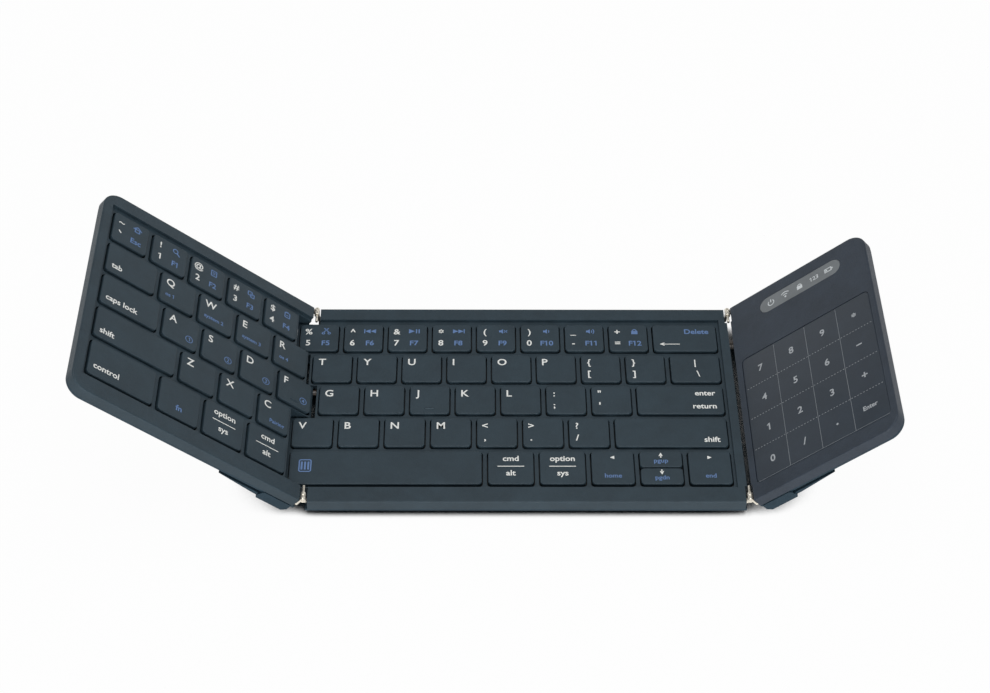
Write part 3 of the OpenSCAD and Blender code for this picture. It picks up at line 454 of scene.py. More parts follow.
# Each sign about its own middle, in millimetres
SIGNS = {
    "+": stroke(-1.2, 0, 1.2, 0, 0.58) + stroke(0, -1.2, 0, 1.2, 0.58),
    "*": spoke(90) + spoke(210) + spoke(330),
    "-": stroke(-1.15, 0, 1.15, 0, 0.58),
    ".": disc(0, -0.3, 0.45),
    "home": (stroke(-1.8, 0, 0, 1.5, 0.45) + stroke(0, 1.5, 1.8, 0, 0.45)
             + box_line(0, -0.5, 1.15, 0.95, 0.2, 0.45)),
    "search": arc(-0.3, 0.3, 1.2, 0.4) + stroke(0.5, -0.5, 1.6, -1.6, 0.5),
    "page": (stroke(-0.6, 0.45, 0.6, 0.45, 0.35) + stroke(-0.6, -0.35, 0.6, -0.35, 0.35)
             + box_line(0, 0, 1.35, 1.5, 0.4, 0.4)),
    "two pages": (box_line(-0.45, 0.4, 1.1, 1.15, 0.35, 0.4)
                  + box_line(0.6, -0.5, 1.0, 1.05, 0.35, 0.4)),
    "clipboard": (box_line(0, -0.15, 1.3, 1.4, 0.35, 0.4) + stroke(-0.6, 1.3, 0.6, 1.3, 0.6)
                  + stroke(-0.55, -0.3, 0.55, -0.3, 0.4)),
    "scissors": (stroke(-1.0, -0.6, 0.8, 1.6, 0.4) + stroke(1.0, -0.6, -0.8, 1.6, 0.4)
                 + arc(-1.1, -1.1, 0.65, 0.35) + arc(1.1, -1.1, 0.65, 0.35)),
    "previous": (stroke(-2.2, -1.1, -2.2, 1.1, 0.4) + pointer(-0.9, 0, 2.1, 180)
                 + pointer(1.2, 0, 2.1, 180)),
    "play": (stroke(0.8, -1.1, 0.8, 1.1, 0.45) + stroke(1.8, -1.1, 1.8, 1.1, 0.45)
             + pointer(-1.1, 0, 2.3)),
    "next": (stroke(2.2, -1.1, 2.2, 1.1, 0.4) + pointer(-1.2, 0, 2.1) + pointer(0.9, 0, 2.1)),
    "mute": SPEAKER + stroke(0.6, -0.6, 1.8, 0.6, 0.35) + stroke(0.6, 0.6, 1.8, -0.6, 0.35),
    "quieter": QUIETER,
    "louder": moved(QUIETER + arc(0, 0, 1.9, 0.35, -42, 84, 8), -0.4, 0),
    "padlock": ([[(-1.2, -1.4), (1.2, -1.4), (1.2, 0.3), (-1.2, 0.3)]]
                + arc(0, 0.3, 0.95, 0.4, 0, 180, 10)),
    "key grid": (box_line(0, 0, 2.35, 3.0, 0.9, 0.45) + stroke(-1.2, -1.9, -1.2, 1.9, 0.7)
                 + stroke(0, -1.9, 0, 1.9, 0.7) + stroke(1.2, -1.9, 1.2, 1.9, 0.7)),
    "arrow up": pointer(0, 0.3, 1.6, 90) + stroke(0, -1.2, 0, -0.2, 0.45),
    "arrow down": pointer(0, -0.3, 1.6, 270) + stroke(0, 0.2, 0, 1.2, 0.45),
    "arrow left": pointer(0, 0, 1.6, 180),
    "arrow right": pointer(0, 0, 1.6),
    "delete arrow": stroke(1.2, 0, 7.7, 0, 0.32) + pointer(0.9, 0, 1.8, 180),
    "back tick": stroke(-0.65, 3.0, 0.35, 1.9, 0.5),
    "quote tick": stroke(0, 2.9, 0, 1.6, 0.5),
    "power": arc(0, 0, 1.5, 0.4, 130, 280) + stroke(0, 0.2, 0, 1.7, 0.4),
    "radio": (disc(0, -1.0, 0.45) + arc(0, -1.0, 1.5, 0.4, 45, 90, 8)
              + arc(0, -1.0, 2.6, 0.4, 45, 90, 8)),
    "battery": (box_line(-0.2, 0, 1.6, 1.0, 0.25, 0.4) + stroke(1.7, -0.4, 1.7, 0.4, 0.4)
                + stroke(-0.9, -0.4, -0.9, 0.4, 0.8)),
}

WHITE, BLUE = "White pad print, tampo ink", "Blue pad print, tampo ink"
UPPER_LINE, LOWER_LINE = 5.15, 11.1
MIDDLE = "middle"

# A mark is its ink, kind, text, distance from the cap's left edge (or, below zero, from
# its right edge), distance from the cap's back edge, and which end the place is for.


def number_cap(upper, lower, second, sign):
    top = ("sign", "*", 3.2, 3.5) if upper == "*" else ("symbol", upper, 3.2, UPPER_LINE)
    kind, mark = ("sign", "back tick") if lower == "`" else ("symbol", lower)
    return [(WHITE, *top, "centre"),
            (WHITE, kind, mark, 3.15, LOWER_LINE, "centre"),
            (BLUE, "word", second, 9.9, LOWER_LINE - 0.1, "centre"),
            (BLUE, "sign", sign, 9.9, 3.5, "centre")]


def letter_cap(letter, *marks):
    return [(WHITE, "letter", letter, 2.1, 5.25, "left"), *marks]


def letter_caps(letters):
    return [letter_cap(letter) for letter in letters]


def two_symbols(upper, lower, x=2.95, lower_x=2.95):
    kind, mark = ("sign", "quote tick") if lower == "'" else ("symbol", lower)
    return [(WHITE, "symbol", upper, x, UPPER_LINE, "centre"),
            (WHITE, kind, mark, lower_x, LOWER_LINE - 0.1, "centre")]


def left_word(text, line):
    return [(WHITE, "word", text, 2.1, line, "left")]


def right_word(text, line, ink=WHITE):
    return (ink, "word", text, -2.85, line, "right")


def two_words(upper, lower):
    return [(WHITE, "word", upper, MIDDLE, 4.7, "centre"),
            (WHITE, "rule", 9.7, MIDDLE, 7.25, "centre"),
            (WHITE, "word", lower, MIDDLE, 11.6, "centre")]


def system_mark(text):
    """A small second word at the front left of a cap."""
    return (BLUE, "small", text, 2.3, 10.7, "left")


def device_mark(digit):
    """A ringed digit at the front right of a cap."""
    return (BLUE, "ringed", digit, 11.2, 9.7, "centre")


def arrow_cap(sign, sign_line, text, text_line):
    return [(WHITE, "sign", sign, MIDDLE, sign_line, "centre"),
            (BLUE, "arrow word", text, MIDDLE, text_line, "centre")]


# The caps of each node, from left to right
PRINTS = {
    "keys_grave_to_4": [number_cap("~", "`", "Esc", "home"), number_cap("!", "1", "F1", "search"),
                        number_cap("@", "2", "F2", "page"), number_cap("#", "3", "F3", "two pages"),
                        number_cap("$", "4", "F4", "clipboard")],
    "keys_5_6_7_8": [number_cap("%", "5", "F5", "scissors"), number_cap("^", "6", "F6", "previous"),
                     number_cap("&", "7", "F7", "play"), number_cap("*", "8", "F8", "next")],
    "keys_9_0_minus_equals": [number_cap("(", "9", "F9", "mute"),
                              number_cap(")", "0", "F10", "quieter"),
                              number_cap("_", "-", "F11", "louder"),
                              number_cap("+", "=", "F12", "padlock")],
    "key_backspace": [[right_word("Delete", 4.7, BLUE),
                       (WHITE, "sign", "delete arrow", 2.4, 10.25, "left")]],
    "key_tab": [left_word("tab", 11.5)],
    "keys_q_w": [letter_cap("Q", system_mark("os 1")), letter_cap("W", system_mark("system 2"))],
    "keys_e_r": [letter_cap("E", system_mark("system 3")), letter_cap("R", system_mark("os 4"))],
    "keys_t_y_u": letter_caps("TYU"),
    "keys_i_o_p": letter_caps("IOP"),
    "keys_brackets_backslash": [two_symbols("{", "["), two_symbols("}", "]"),
                                two_symbols("|", "\\", 9.4, 10.3)],
    "key_caps_lock": [left_word("caps lock", 11.4)],
    "keys_a_s": [letter_cap("A", device_mark("1")), letter_cap("S", device_mark("2"))],
    "keys_d_f": [letter_cap("D", device_mark("3")), letter_cap("F", device_mark("4"))],
    "keys_g_h_j": letter_caps("GHJ"),
    "keys_k_l_semicolon_quote": [*letter_caps("KL"), two_symbols(":", ";"),
                                 two_symbols("\"", "'")],
    "key_enter": [[right_word("enter", 4.6), right_word("return", 11.2)]],
    "key_left_shift": [left_word("shift", 11.6)],
    "keys_z_x_c": [*letter_caps("ZX"),
                   letter_cap("C", (BLUE, "small", "Pairing", 5.0, 11.5, "left"))],
    "keys_v_b_n": letter_caps("VBN"),
    "keys_m_comma_period_slash": [letter_cap("M"), two_symbols("<", ","), two_symbols(">", "."),
                                  two_symbols("?", "/")],
    "key_right_shift": [[right_word("shift", 11.6)]],
    "keys_control_fn": [left_word("control", 12.3), [(BLUE, "word", "fn", MIDDLE, 12.2, "centre")]],
    "keys_option_cmd_left": [two_words("option", "sys"), two_words("cmd", "alt")],
    "key_space": [[(BLUE, "sign", "key grid", 5.6, 7.0, "centre")]],
    "keys_cmd_option_right": [two_words("cmd", "alt"), two_words("option", "sys")],
    "key_arrow_left": [arrow_cap("arrow left", 3.0, "home", 12.6)],
    "key_arrow_up": [arrow_cap("arrow up", 1.9, "pgup", 5.4)],
    "key_arrow_down": [arrow_cap("arrow down", 1.9, "pgdn", 5.4)],
    "key_arrow_right": [arrow_cap("arrow right", 3.0, "end", 12.6)],
}
HOMING_CAPS = {("keys_d_f", 1), ("keys_g_h_j", 2)}


def mark_shapes(kind, text, x, y, align, sizes):
    """The flat shapes of one mark whose place is x and y in the flat keyboard."""
    if kind == "sign":
        return moved(SIGNS[text], x, y)
    if kind == "rule":
        return stroke(x - text / 2, y, x + text / 2, y, 0.36)
    if kind == "ringed":
        return arc(x, y, 1.6, 0.28) + word(text, x, y - 0.8, sizes.small, 0.03, "centre")
    if kind in ("small", "arrow word"):
        size = sizes.small * (1.15 if kind == "arrow word" else 1)
        return word(text, x, y, size, sizes.weight * 0.6, align)
    return word(text, x, y, getattr(sizes, kind), sizes.weight, align)


def print_cap(build, marks, low, high, sizes):
    """All marks of one cap, just above its top."""
    for ink, kind, text, x, y, align in marks:
        if x == MIDDLE:
            place = (low[0] + high[0]) / 2
        else:
            place = low[0] + x if x >= 0 else high[0] + x
        shapes = mark_shapes(kind, text, place, high[1] - y, align, sizes)
        build.flat(shapes, high[2] + sizes.ink, ink)


CAP_PLASTIC = "ABS key cap, fine spark texture"


def mould_cap(build, low, high, sizes):
    """One hollow key cap with a rounded upper edge, open below."""
    # The small lead-in at the foot of the walls
    lead = 0.06
    outside = [inset_ring(low, high, sizes.corner, lead, low[2]),
               inset_ring(low, high, sizes.corner, 0, low[2] + lead)]
    outside += rounded_edge(low, high, sizes.corner, sizes.fillet)
    outside.append(inset_ring(low, high, sizes.corner, sizes.fillet + 0.1, high[2]))
    inside = [inset_ring(low, high, sizes.corner, sizes.wall, low[2]),
              inset_ring(low, high, sizes.corner, sizes.wall, high[2] - sizes.top)]
    outer = build.skin(outside, CAP_PLASTIC, first=False)[0]
    inner = build.skin([ring[::-1] for ring in inside], CAP_PLASTIC, first=False)[0][::-1]
    for i in range(len(outer)):
        j = (i + 1) % len(outer)
        rim = build.mesh.faces.new((outer[j], outer[i], inner[i], inner[j]))
        rim.material_index = build.index(CAP_PLASTIC)


def mould_homing_bump(build, low, high, sizes):
    """The small raised line near the front edge of the F and J caps."""
    from_front, half = 2.6, 0.35
    x, y = (low[0] + high[0]) / 2, low[1] + from_front
    ends = ([x - sizes.bump / 2, y - half], [x + sizes.bump / 2, y + half])
    # How far each ring lies inside the foot of the bump, and how high above the cap
    profile = ((0, -0.02), (0.02, 0.1), (0.08, 0.2), (0.2, 0.26))
    rings = [inset_ring(*ends, half - 0.01, inset, high[2] + rise) for inset, rise in profile]
    build.skin(rings, CAP_PLASTIC, first=False)


# ---- Materials ----

def add(tree, kind, values=None, **settings):
    """Adds a shader node with its settings. A value that is a socket is linked."""
    made = tree.nodes.new(kind)
    for name, value in settings.items():
        setattr(made, name, value)
    for name, value in (values or {}).items():
        if isinstance(value, bpy.types.NodeSocket):
            tree.links.new(value, made.inputs[name])
        else:
            made.inputs[name].default_value = value
    return made


def blank(name):
    """An empty material, its node tree and the place on the object in metres."""
    made = bpy.data.materials.new(name)
    made.use_nodes = True
    made.node_tree.nodes.clear()
    return made.node_tree, add(made.node_tree, "ShaderNodeTexCoord").outputs["Object"]


def shade(base, share=1):
    """A colour made lighter or darker by a share."""
    return [min(c * share, 1) for c in base[:3]] + [1]


def two_toned(tree, share, dark, light, values):
    """Ends a material whose colour goes from one tone to another with a share."""
    tone = add(tree, "ShaderNodeMix", {0: share, 6: dark, 7: light}, data_type="RGBA")
    surface = add(tree, "ShaderNodeBsdfPrincipled", {"Base Color": tone.outputs[2], **values})
    add(tree, "ShaderNodeOutputMaterial", {"Surface": surface.outputs["BSDF"]})


# The range that a noise texture fills
NOISE = {"From Min": 0.3, "From Max": 0.7}


def mottled(tree, base, clouds, tones, grain, rough, depth_mm, constants):
    """Ends a material whose tone follows one noise, and whose gloss and relief follow another."""
    share = add(tree, "ShaderNodeMapRange", {"Value": clouds.outputs["Fac"], **NOISE})
    gloss = add(tree, "ShaderNodeMapRange", {"Value": grain.outputs["Fac"], **NOISE,
                                             "To Min": rough[0], "To Max": rough[1]})
    relief = add(tree, "ShaderNodeBump", {"Height": grain.outputs["Fac"], "Distance": depth_mm * MM})
    two_toned(tree, share.outputs["Result"], shade(base, tones[0]), shade(base, tones[1]),
              {"Roughness": gloss.outputs["Result"], "Normal": relief.outputs["Normal"], **constants})


def grained(name, base, grain_mm, depth_mm, rough, clouding=0.05, constants=None):
    """A moulded or printed skin: an even grain, with clouding from 14 mm down to a fine speckle."""
    tree, place = blank(name)
    clouds = add(tree, "ShaderNodeTexNoise", {"Vector": place, "Scale": PER_MM / 14, "Detail": 6,
                                              "Roughness": 0.75})
    grain = add(tree, "ShaderNodeTexNoise", {"Vector": place, "Scale": PER_MM / grain_mm, "Detail": 2})
    mottled(tree, base, clouds, (1 - clouding, 1 + clouding), grain, (rough - 0.06, rough + 0.06),
            depth_mm, constants or {})


def streaked(name, base, metallic, rough, line_mm, depth_mm):
    """Rolled, drawn or turned metal, bare or lacquered: lines along x, ten times as long as wide."""
    tree, place = blank(name)
    draw = 10
    stretched = add(tree, "ShaderNodeMapping", {"Vector": place, "Scale": (1, draw, 1)})
    lines = add(tree, "ShaderNodeTexNoise", {"Vector": stretched.outputs["Vector"],
                                             "Scale": PER_MM / line_mm / draw, "Detail": 3})
    spots = add(tree, "ShaderNodeTexNoise", {"Vector": place, "Scale": PER_MM / 3, "Detail": 2})
    mottled(tree, base, spots, (0.85, 1.04), lines, (rough - 0.1, rough + 0.1), depth_mm,
            {"Metallic": metallic})


def tracked_film(name):
    """Black polyester film whose tracks, 4.25 mm apart, show a little lighter."""
    tree, place = blank(name)
    wave = add(tree, "ShaderNodeTexWave", {"Vector": place, "Scale": PER_MM / 4.25 / math.tau,
                                           "Distortion": 0.6})
    share = add(tree, "ShaderNodeMapRange",
                {"Value": wave.outputs["Fac"], "From Min": 0.75, "From Max": 0.8})
    two_toned(tree, share.outputs["Result"], shade(linear("#17191B")), shade(linear("#2B2E31")),
              {"Roughness": 0.3, "IOR": 1.6})


def masked_board(name):
    """Green solder mask that shows the copper tracks under it, 3 mm from cell to cell."""
    tree, place = blank(name)
    cells = add(tree, "ShaderNodeTexVoronoi", {"Vector": place, "Scale": PER_MM / 3},
                distance="MANHATTAN")
    share = add(tree, "ShaderNodeMapRange",
                {"Value": cells.outputs["Distance"], "From Min": 0.45, "From Max": 0.5})
    relief = add(tree, "ShaderNodeBump", {"Height": cells.outputs["Distance"], "Distance": 0.03 * MM})
    two_toned(tree, share.outputs["Result"], shade(linear("#155035")), shade(linear("#1E6B45")),
              {"Roughness": 0.35, "Normal": relief.outputs["Normal"]})


def ribbon_film(name):
    """Dark polyimide over copper conductors that lie 1 mm apart."""
    tree, place = blank(name)
    wave = add(tree, "ShaderNodeTexWave", {"Vector": place, "Scale": PER_MM / math.tau},
               bands_direction="Y")
    two_toned(tree, wave.outputs["Fac"], shade(linear("#241A12")), shade(linear("#3A2A1B")),
              {"Roughness": 0.35, "IOR": 1.7})


def make_finishes(finish):
    """All the materials of the keyboard."""
    # ABS, injection moulded in a spark-eroded mould: a fine grain that breaks up the
    # highlights. The real grain is near 0.1 mm and is drawn at 0.35 mm so that it shows
    dull = {"IOR": 1.53, "Specular IOR Level": 0.3}
    grained(CAP_PLASTIC, finish.cap, 0.35, 0.05, 0.5, 0.16, dull)
    # The same plastic with a coarser spark grain on the decks, drawn at 0.5 mm
    grained("ABS deck, spark texture", finish.deck, 0.5, 0.08, 0.48, 0.2, dull)
    grained("ABS pad deck, spark texture", finish.pad_deck, 0.5, 0.08, 0.48, 0.2, dull)
    # The shells are handled most, so their grain is deeper and matter, drawn at 0.6 mm
    grained("ABS shell, spark texture", finish.shell, 0.6, 0.1, 0.52, 0.2,
            {"IOR": 1.53, "Specular IOR Level": 0.12})
    # Tampo ink: a thin matt skin that covers evenly
    grained(WHITE, finish.white, 0.3, 0.004, 0.6, 0.02)
    grained(BLUE, finish.blue, 0.3, 0.004, 0.6, 0.04)
    grained("Grey screen print, matt ink", finish.pale, 0.3, 0.003, 0.6)
    grained("Grey screen print, thin ink", finish.line, 0.3, 0.003, 0.6)
    # Hard-coated polycarbonate film: smoother than the deck round it, so it reads as a
    # separate sheet
    grained("Polycarbonate film, matt hard coat", finish.pad, 0.35, 0.03, 0.42, 0.14,
            {"IOR": 1.58, "Specular IOR Level": 0.3})
    # Satin grey polycarbonate: light enters it a little, and its mould left fine ripples
    grained("Polycarbonate window, satin grey", finish.window, 0.9, 0.04, 0.4, 0.15, {"IOR": 1.58})
    grained("Window icons, pale print", finish.icon, 0.3, 0.003, 0.5)
    # Steel, turned and tumbled, then nickel plated: warm, bright, with lines round the pin
    streaked("Steel hinge, nickel plated", finish.plating, 0.9, 0.32, 0.2, 0.006)
    # Cold-rolled sheet, lacquered black: dull, with rolling lines 0.6 mm apart just showing
    streaked("Steel sheet, rolled and lacquered black", linear("#1A1D1F"), 0, 0.5, 0.6, 0.01)
    streaked("Steel screw, blackened", linear("#4A4B4E"), 1.0, 0.4, 0.3, 0.006)
    streaked("Steel socket, stamped and tin plated", linear("#C9C9C7"), 1.0, 0.35, 0.3, 0.006)
    # Silicone: a soft matt skin. Acetal: waxy and smooth. EPDM feet: dull and dusty
    grained("Silicone rubber, pressed", linear("#B9BDC0"), 1.2, 0.01, 0.65, constants={"IOR": 1.41})
    grained("Acetal, moulded black", linear("#1B1D1F"), 1.0, 0.005, 0.4, constants={"IOR": 1.48})
    grained("EPDM rubber, moulded feet", linear("#26282A"), 0.6, 0.04, 0.8, 0.15)
    # Aluminium laminate pouch: soft metal with wrinkles 6 mm apart
    grained("Aluminium pouch, laminated", linear("#B4B6BA"), 6, 0.15, 0.42, constants={"Metallic": 0.7})
    tracked_film("Polyester membrane, black printed")
    masked_board("Glass-epoxy board, green solder mask")
    ribbon_film("Polyimide ribbon, laminated")


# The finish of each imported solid, by how its name ends
FINISH_OF = (
    ("right_top_frame", "ABS pad deck, spark texture"),
    ("top_frame", "ABS deck, spark texture"),
    ("bottom_shell", "ABS shell, spark texture"),
    ("key_plate", "Steel sheet, rolled and lacquered black"),
    ("membrane", "Polyester membrane, black printed"),
    ("domes", "Silicone rubber, pressed"),
    ("scissors", "Acetal, moulded black"),
    ("hinge_leaves", "Steel hinge, nickel plated"),
    ("hinge_pins", "Steel hinge, nickel plated"),
    ("screws", "Steel screw, blackened"),
    ("feet", "EPDM rubber, moulded feet"),
    ("ribbon_cables", "Polyimide ribbon, laminated"),
    ("board", "Glass-epoxy board, green solder mask"),
    ("battery", "Aluminium pouch, laminated"),
    ("charging_port", "Steel socket, stamped and tin plated"),
    ("touch_number_pad", "Polycarbonate film, matt hard coat"),
    ("indicator_window", "Polycarbonate window, satin grey"),
)


def soften(made, width_mm, segments=2):
    """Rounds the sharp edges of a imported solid, as its mould or press leaves them."""
    made.modifiers.new("Join faces", "WELD").merge_threshold = 2e-6
    merge = made.modifiers.new("Merge flat faces", "DECIMATE")
    merge.decimate_type, merge.angle_limit = "DISSOLVE", math.radians(1.2)
    # Without triangles, the next step closes the key holes of a large flat face
    made.modifiers.new("Keep holes open", "TRIANGULATE")
    edge = made.modifiers.new("Soft edges", "BEVEL")
    edge.width, edge.segments = width_mm * MM, segments
    edge.limit_method, edge.angle_limit = "ANGLE", math.radians(32)
    edge.miter_outer = "MITER_ARC"
    made.modifiers.new("Even shading", "WEIGHTED_NORMAL").keep_sharp = True


def soften_nodes(ends, width_mm, segments=2):
    for name, made in frame["nodes"].items():
        if name.endswith(ends):
            soften(made, width_mm, segments)


# ---- Operators ----

class KEYBOARD_OT_finishes(bpy.types.Operator):
    """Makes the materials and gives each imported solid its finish"""
    bl_idname = "keyboard.finishes"
    bl_label = "Finishes"

    def execute(self, context):
        make_finishes(context.scene.keyboard_finishes)
        for name, made in frame["nodes"].items():
            finish = next((m for end, m in FINISH_OF if name.endswith(end)), CAP_PLASTIC)
            made.data.materials.clear()
            made.data.materials.append(bpy.data.materials[finish])
        return {"FINISHED"}


class KEYBOARD_OT_cases(bpy.types.Operator):
    """Softens the moulded edges of the top frames and bottom shells"""
    bl_idname = "keyboard.cases"
    bl_label = "Top frames and bottom shells"

    def execute(self, context):
        soften_nodes(("top_frame", "bottom_shell"), millimetres(context.scene.keyboard_case).edge)
        return {"FINISHED"}


class KEYBOARD_OT_hardware(bpy.types.Operator):
    """Breaks the edges of the hinge leaves, pins, screws and feet"""
    bl_idname = "keyboard.hardware"
    bl_label = "Hinges, screws and feet"

    def execute(self, context):
        sizes = millimetres(context.scene.keyboard_case)
        soften_nodes(("hinge_leaves", "hinge_pins", "screws"), sizes.metal_edge)
        soften_nodes(("feet",), sizes.foot_edge, 3)
        return {"FINISHED"}


class KEYBOARD_OT_key_caps(bpy.types.Operator):
    """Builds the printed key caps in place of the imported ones"""
    bl_idname = "keyboard.key_caps"
    bl_label = "Key caps"

    def execute(self, context):
        sizes = millimetres(context.scene.keyboard_caps)
        type_sizes = millimetres(context.scene.keyboard_prints)
        for node, prints in PRINTS.items():
            panel = panel_of(node)
            boxes = solids(node, panel)
            if len(boxes) != len(prints):
                raise RuntimeError(f"{node} has {len(boxes)} caps and {len(prints)} prints")
            build = Builder()
            for i, ((low, high), marks) in enumerate(zip(boxes, prints)):
                mould_cap(build, low, high, sizes)
                print_cap(build, marks, low, high, type_sizes)
                if (node, i) in HOMING_CAPS:
                    mould_homing_bump(build, low, high, sizes)
            build.piece(node + "_printed", panel, node, "key_plastic", node)
        return {"FINISHED"}


class KEYBOARD_OT_key_supports(bpy.types.Operator):
    """Parts the domes and scissors by key, one piece under each cap"""
    bl_idname = "keyboard.key_supports"
    bl_label = "Domes and scissors"

    def execute(self, context):
        spare = millimetres(context.scene.keyboard_case).spare
        for key in PRINTS:
            joint = JOINTS[key]
            side, panel = ("left", LEFT) if joint["parent"] == "left_wing" else ("centre", CENTRE)
            boxes = solids(key, panel)
            foot, top = support_heights(side + "_domes", panel)
            for kind, finish, slot in (("domes", "Silicone rubber, pressed", "silicone"),
                                       ("scissors", "Acetal, moulded black", "scissor_plastic")):
                node = side + "_" + kind
                data = part_under(node, panel, boxes)
                # The half-depth arrow keys have a dome and no scissors
                if not data.polygons:
                    continue
                data.materials.append(bpy.data.materials[finish])
                made = bpy.data.objects.new(key + "_" + kind, data)
                context.scene.collection.objects.link(made)
                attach(made, joint["parent"])
                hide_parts(node)
                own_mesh(made)
        return {"FINISHED"}


def ribbon_lines(turn, axis_z, mid, run, sizes):
    """A ribbon's lower and upper lines and the ends of its bend, in x and z.

    Here x is measured from the hinge axis, and grows towards the centre panel.
    """
    radius, half, steps = sizes.ribbon_bend, sizes.ribbon / 2, 16
    start = (axis_z - mid - radius) * math.tan(turn / 2)

    def bend(r, t):
        return -start - r * math.sin(t), mid + radius - r * math.cos(t)

    def in_wing(x, z):
        return (x * math.cos(turn) + (z - axis_z) * math.sin(turn),
                axis_z - x * math.sin(turn) + (z - axis_z) * math.cos(turn))

    lines = []
    for side in (half, -half):
        curve = [bend(radius + side, turn * i / steps) for i in range(steps + 1)]
        lines.append([(run, mid - side), *curve, in_wing(-run, mid - side)])
    return *lines, (bend(radius, 0), bend(radius, turn))


class KEYBOARD_OT_ribbons(bpy.types.Operator):
    """Draws the ribbon cables, bent round the hinge as their wing lies at rest"""
    bl_idname = "keyboard.ribbons"
    bl_label = "Ribbon cables"

    def execute(self, context):
        sizes = millimetres(context.scene.keyboard_case)
        for (low, high), wing in zip(solids("ribbon_cables", CENTRE), ("left_wing", "right_wing")):
            joint = JOINTS[wing]
            turn = math.radians(-joint["range_deg"][0])
            axis_x, axis_z = joint["pos_m"][0] / MM, joint["pos_m"][2] / MM
            inward = -1 if axis_x > 0 else 1
            run = high[0] - axis_x if inward > 0 else axis_x - low[0]
            under, upper, ends = ribbon_lines(turn, axis_z, low[2] + sizes.ribbon / 2, run, sizes)
            rings = []
            for (x0, z0), (x1, z1) in zip(under, upper):
                corners = ((x0, low[1], z0), (x0, high[1], z0), (x1, high[1], z1), (x1, low[1], z1))
                rings.append([(axis_x + inward * x, y, z) for x, y, z in corners])
            build = Builder()
            build.skin(rings, "Polyimide ribbon, laminated")
            bmesh.ops.recalc_face_normals(build.mesh, faces=build.mesh.faces)
            made = bpy.data.objects.new(wing + "_ribbon", build.mesh_data(wing + "_ribbon", CENTRE))
            context.scene.collection.objects.link(made)
            y = (low[1] + high[1]) / 2
            places = [Vector((axis_x + inward * x, y, z)) * MM for x, z in ends]
            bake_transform(made)
            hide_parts("ribbon_cables")
        return {"FINISHED"}


# The cells of the touch pad from the back, where E is the Enter cell
PAD_ROWS = ("789*", "456-", "123+", "0/.E")


def print_pad(build, low, high, prints):
    """The grid, digits and signs of the touch pad, just above its film."""
    ink, thin_ink = "Grey screen print, matt ink", "Grey screen print, thin ink"
    # The grid ends short of the film's edge. Its dashes and front line lie a hair
    # above the lines that they cross
    border, dashes, half_dash, lift = 0.6, 44, 0.28, 0.004
    height = high[2] + prints.ink
    x0, y0, x1, y1 = low[0] + border, low[1] + border, high[0] - border, high[1] - border
    cell_w, cell_d = (x1 - x0) / 4, (y1 - y0) / 4
    for i in (1, 2, 3):
        x = x0 + i * cell_w
        build.flat(stroke(x, y0, x, y1, prints.pad_line), height, thin_ink)
    for j in (1, 2, 3):
        y = y0 + j * cell_d
        for k in range(dashes):
            x = x0 + (k + 0.5) * (x1 - x0) / dashes
            dash = stroke(x - half_dash, y, x + half_dash, y, prints.pad_line)
            build.flat(dash, height + lift, ink)
    build.flat(stroke(x0, y0, x1, y0, prints.pad_line * 0.7), height + lift, thin_ink)
    for j, row in enumerate(PAD_ROWS):
        for i, sign in enumerate(row):
            x, y = x0 + (i + 0.5) * cell_w + 0.2, y1 - (j + 0.5) * cell_d
            if sign in SIGNS:
                shapes = moved(SIGNS[sign], x, y)
            elif sign == "E":
                shapes = word("Enter", x, y - 0.9, 2.7, prints.weight, "centre")
            else:
                shapes = word(sign, x, y - 1.5, prints.pad_digit, prints.pad_weight, "centre")
            build.flat(shapes, height, ink)


class KEYBOARD_OT_touch_pad(bpy.types.Operator):
    """Builds the touch number pad's film with its printed grid and digits"""
    bl_idname = "keyboard.touch_pad"
    bl_label = "Touch number pad"

    def execute(self, context):
        sizes = millimetres(context.scene.keyboard_case)
        low, high = solids("touch_number_pad", RIGHT)[0]
        build = Builder()
        build.skin([inset_ring(low, high, sizes.film_corner, 0, low[2])]
                   + rounded_edge(low, high, sizes.film_corner, sizes.film_edge),
                   "Polycarbonate film, matt hard coat")
        print_pad(build, low, high, millimetres(context.scene.keyboard_prints))
        build.piece("touch_film", RIGHT, "right_wing", "touch_film", "touch_number_pad")
        return {"FINISHED"}


class KEYBOARD_OT_window(bpy.types.Operator):
    """Rounds the indicator window and prints its icons"""
    bl_idname = "keyboard.window"
    bl_label = "Indicator window"

    def execute(self, context):
        low, high = solids("indicator_window", RIGHT)[0]
        edge, pitch = 0.35, 6.6
        soften(frame["nodes"]["indicator_window"], edge, 3)
        x, y = (low[0] + high[0]) / 2, (low[1] + high[1]) / 2
        height = high[2] + millimetres(context.scene.keyboard_prints).ink
        shapes = word("123", x + pitch, y - 1.0, 2.7, 0.04, "centre")
        for place, sign in ((-2, "power"), (-1, "radio"), (0, "padlock"), (2, "battery")):
            shapes += moved(SIGNS[sign], x + place * pitch, y)
        build = Builder()
        build.flat(shapes, height, "Window icons, pale print")
        build.piece("window_icons", RIGHT, "right_wing", "smoke_window")
        return {"FINISHED"}


def traced_rays(tree):
    """One where a camera ray, a reflection or a ray through glass looks, and nil for light."""
    path = add(tree, "ShaderNodeLightPath").outputs
    seen = add(tree, "ShaderNodeMath", {0: path["Is Camera Ray"], 1: path["Is Glossy Ray"]},
               operation="MAXIMUM")
    return add(tree, "ShaderNodeMath", {0: seen.outputs[0], 1: path["Is Transmission Ray"]},
               operation="MAXIMUM")


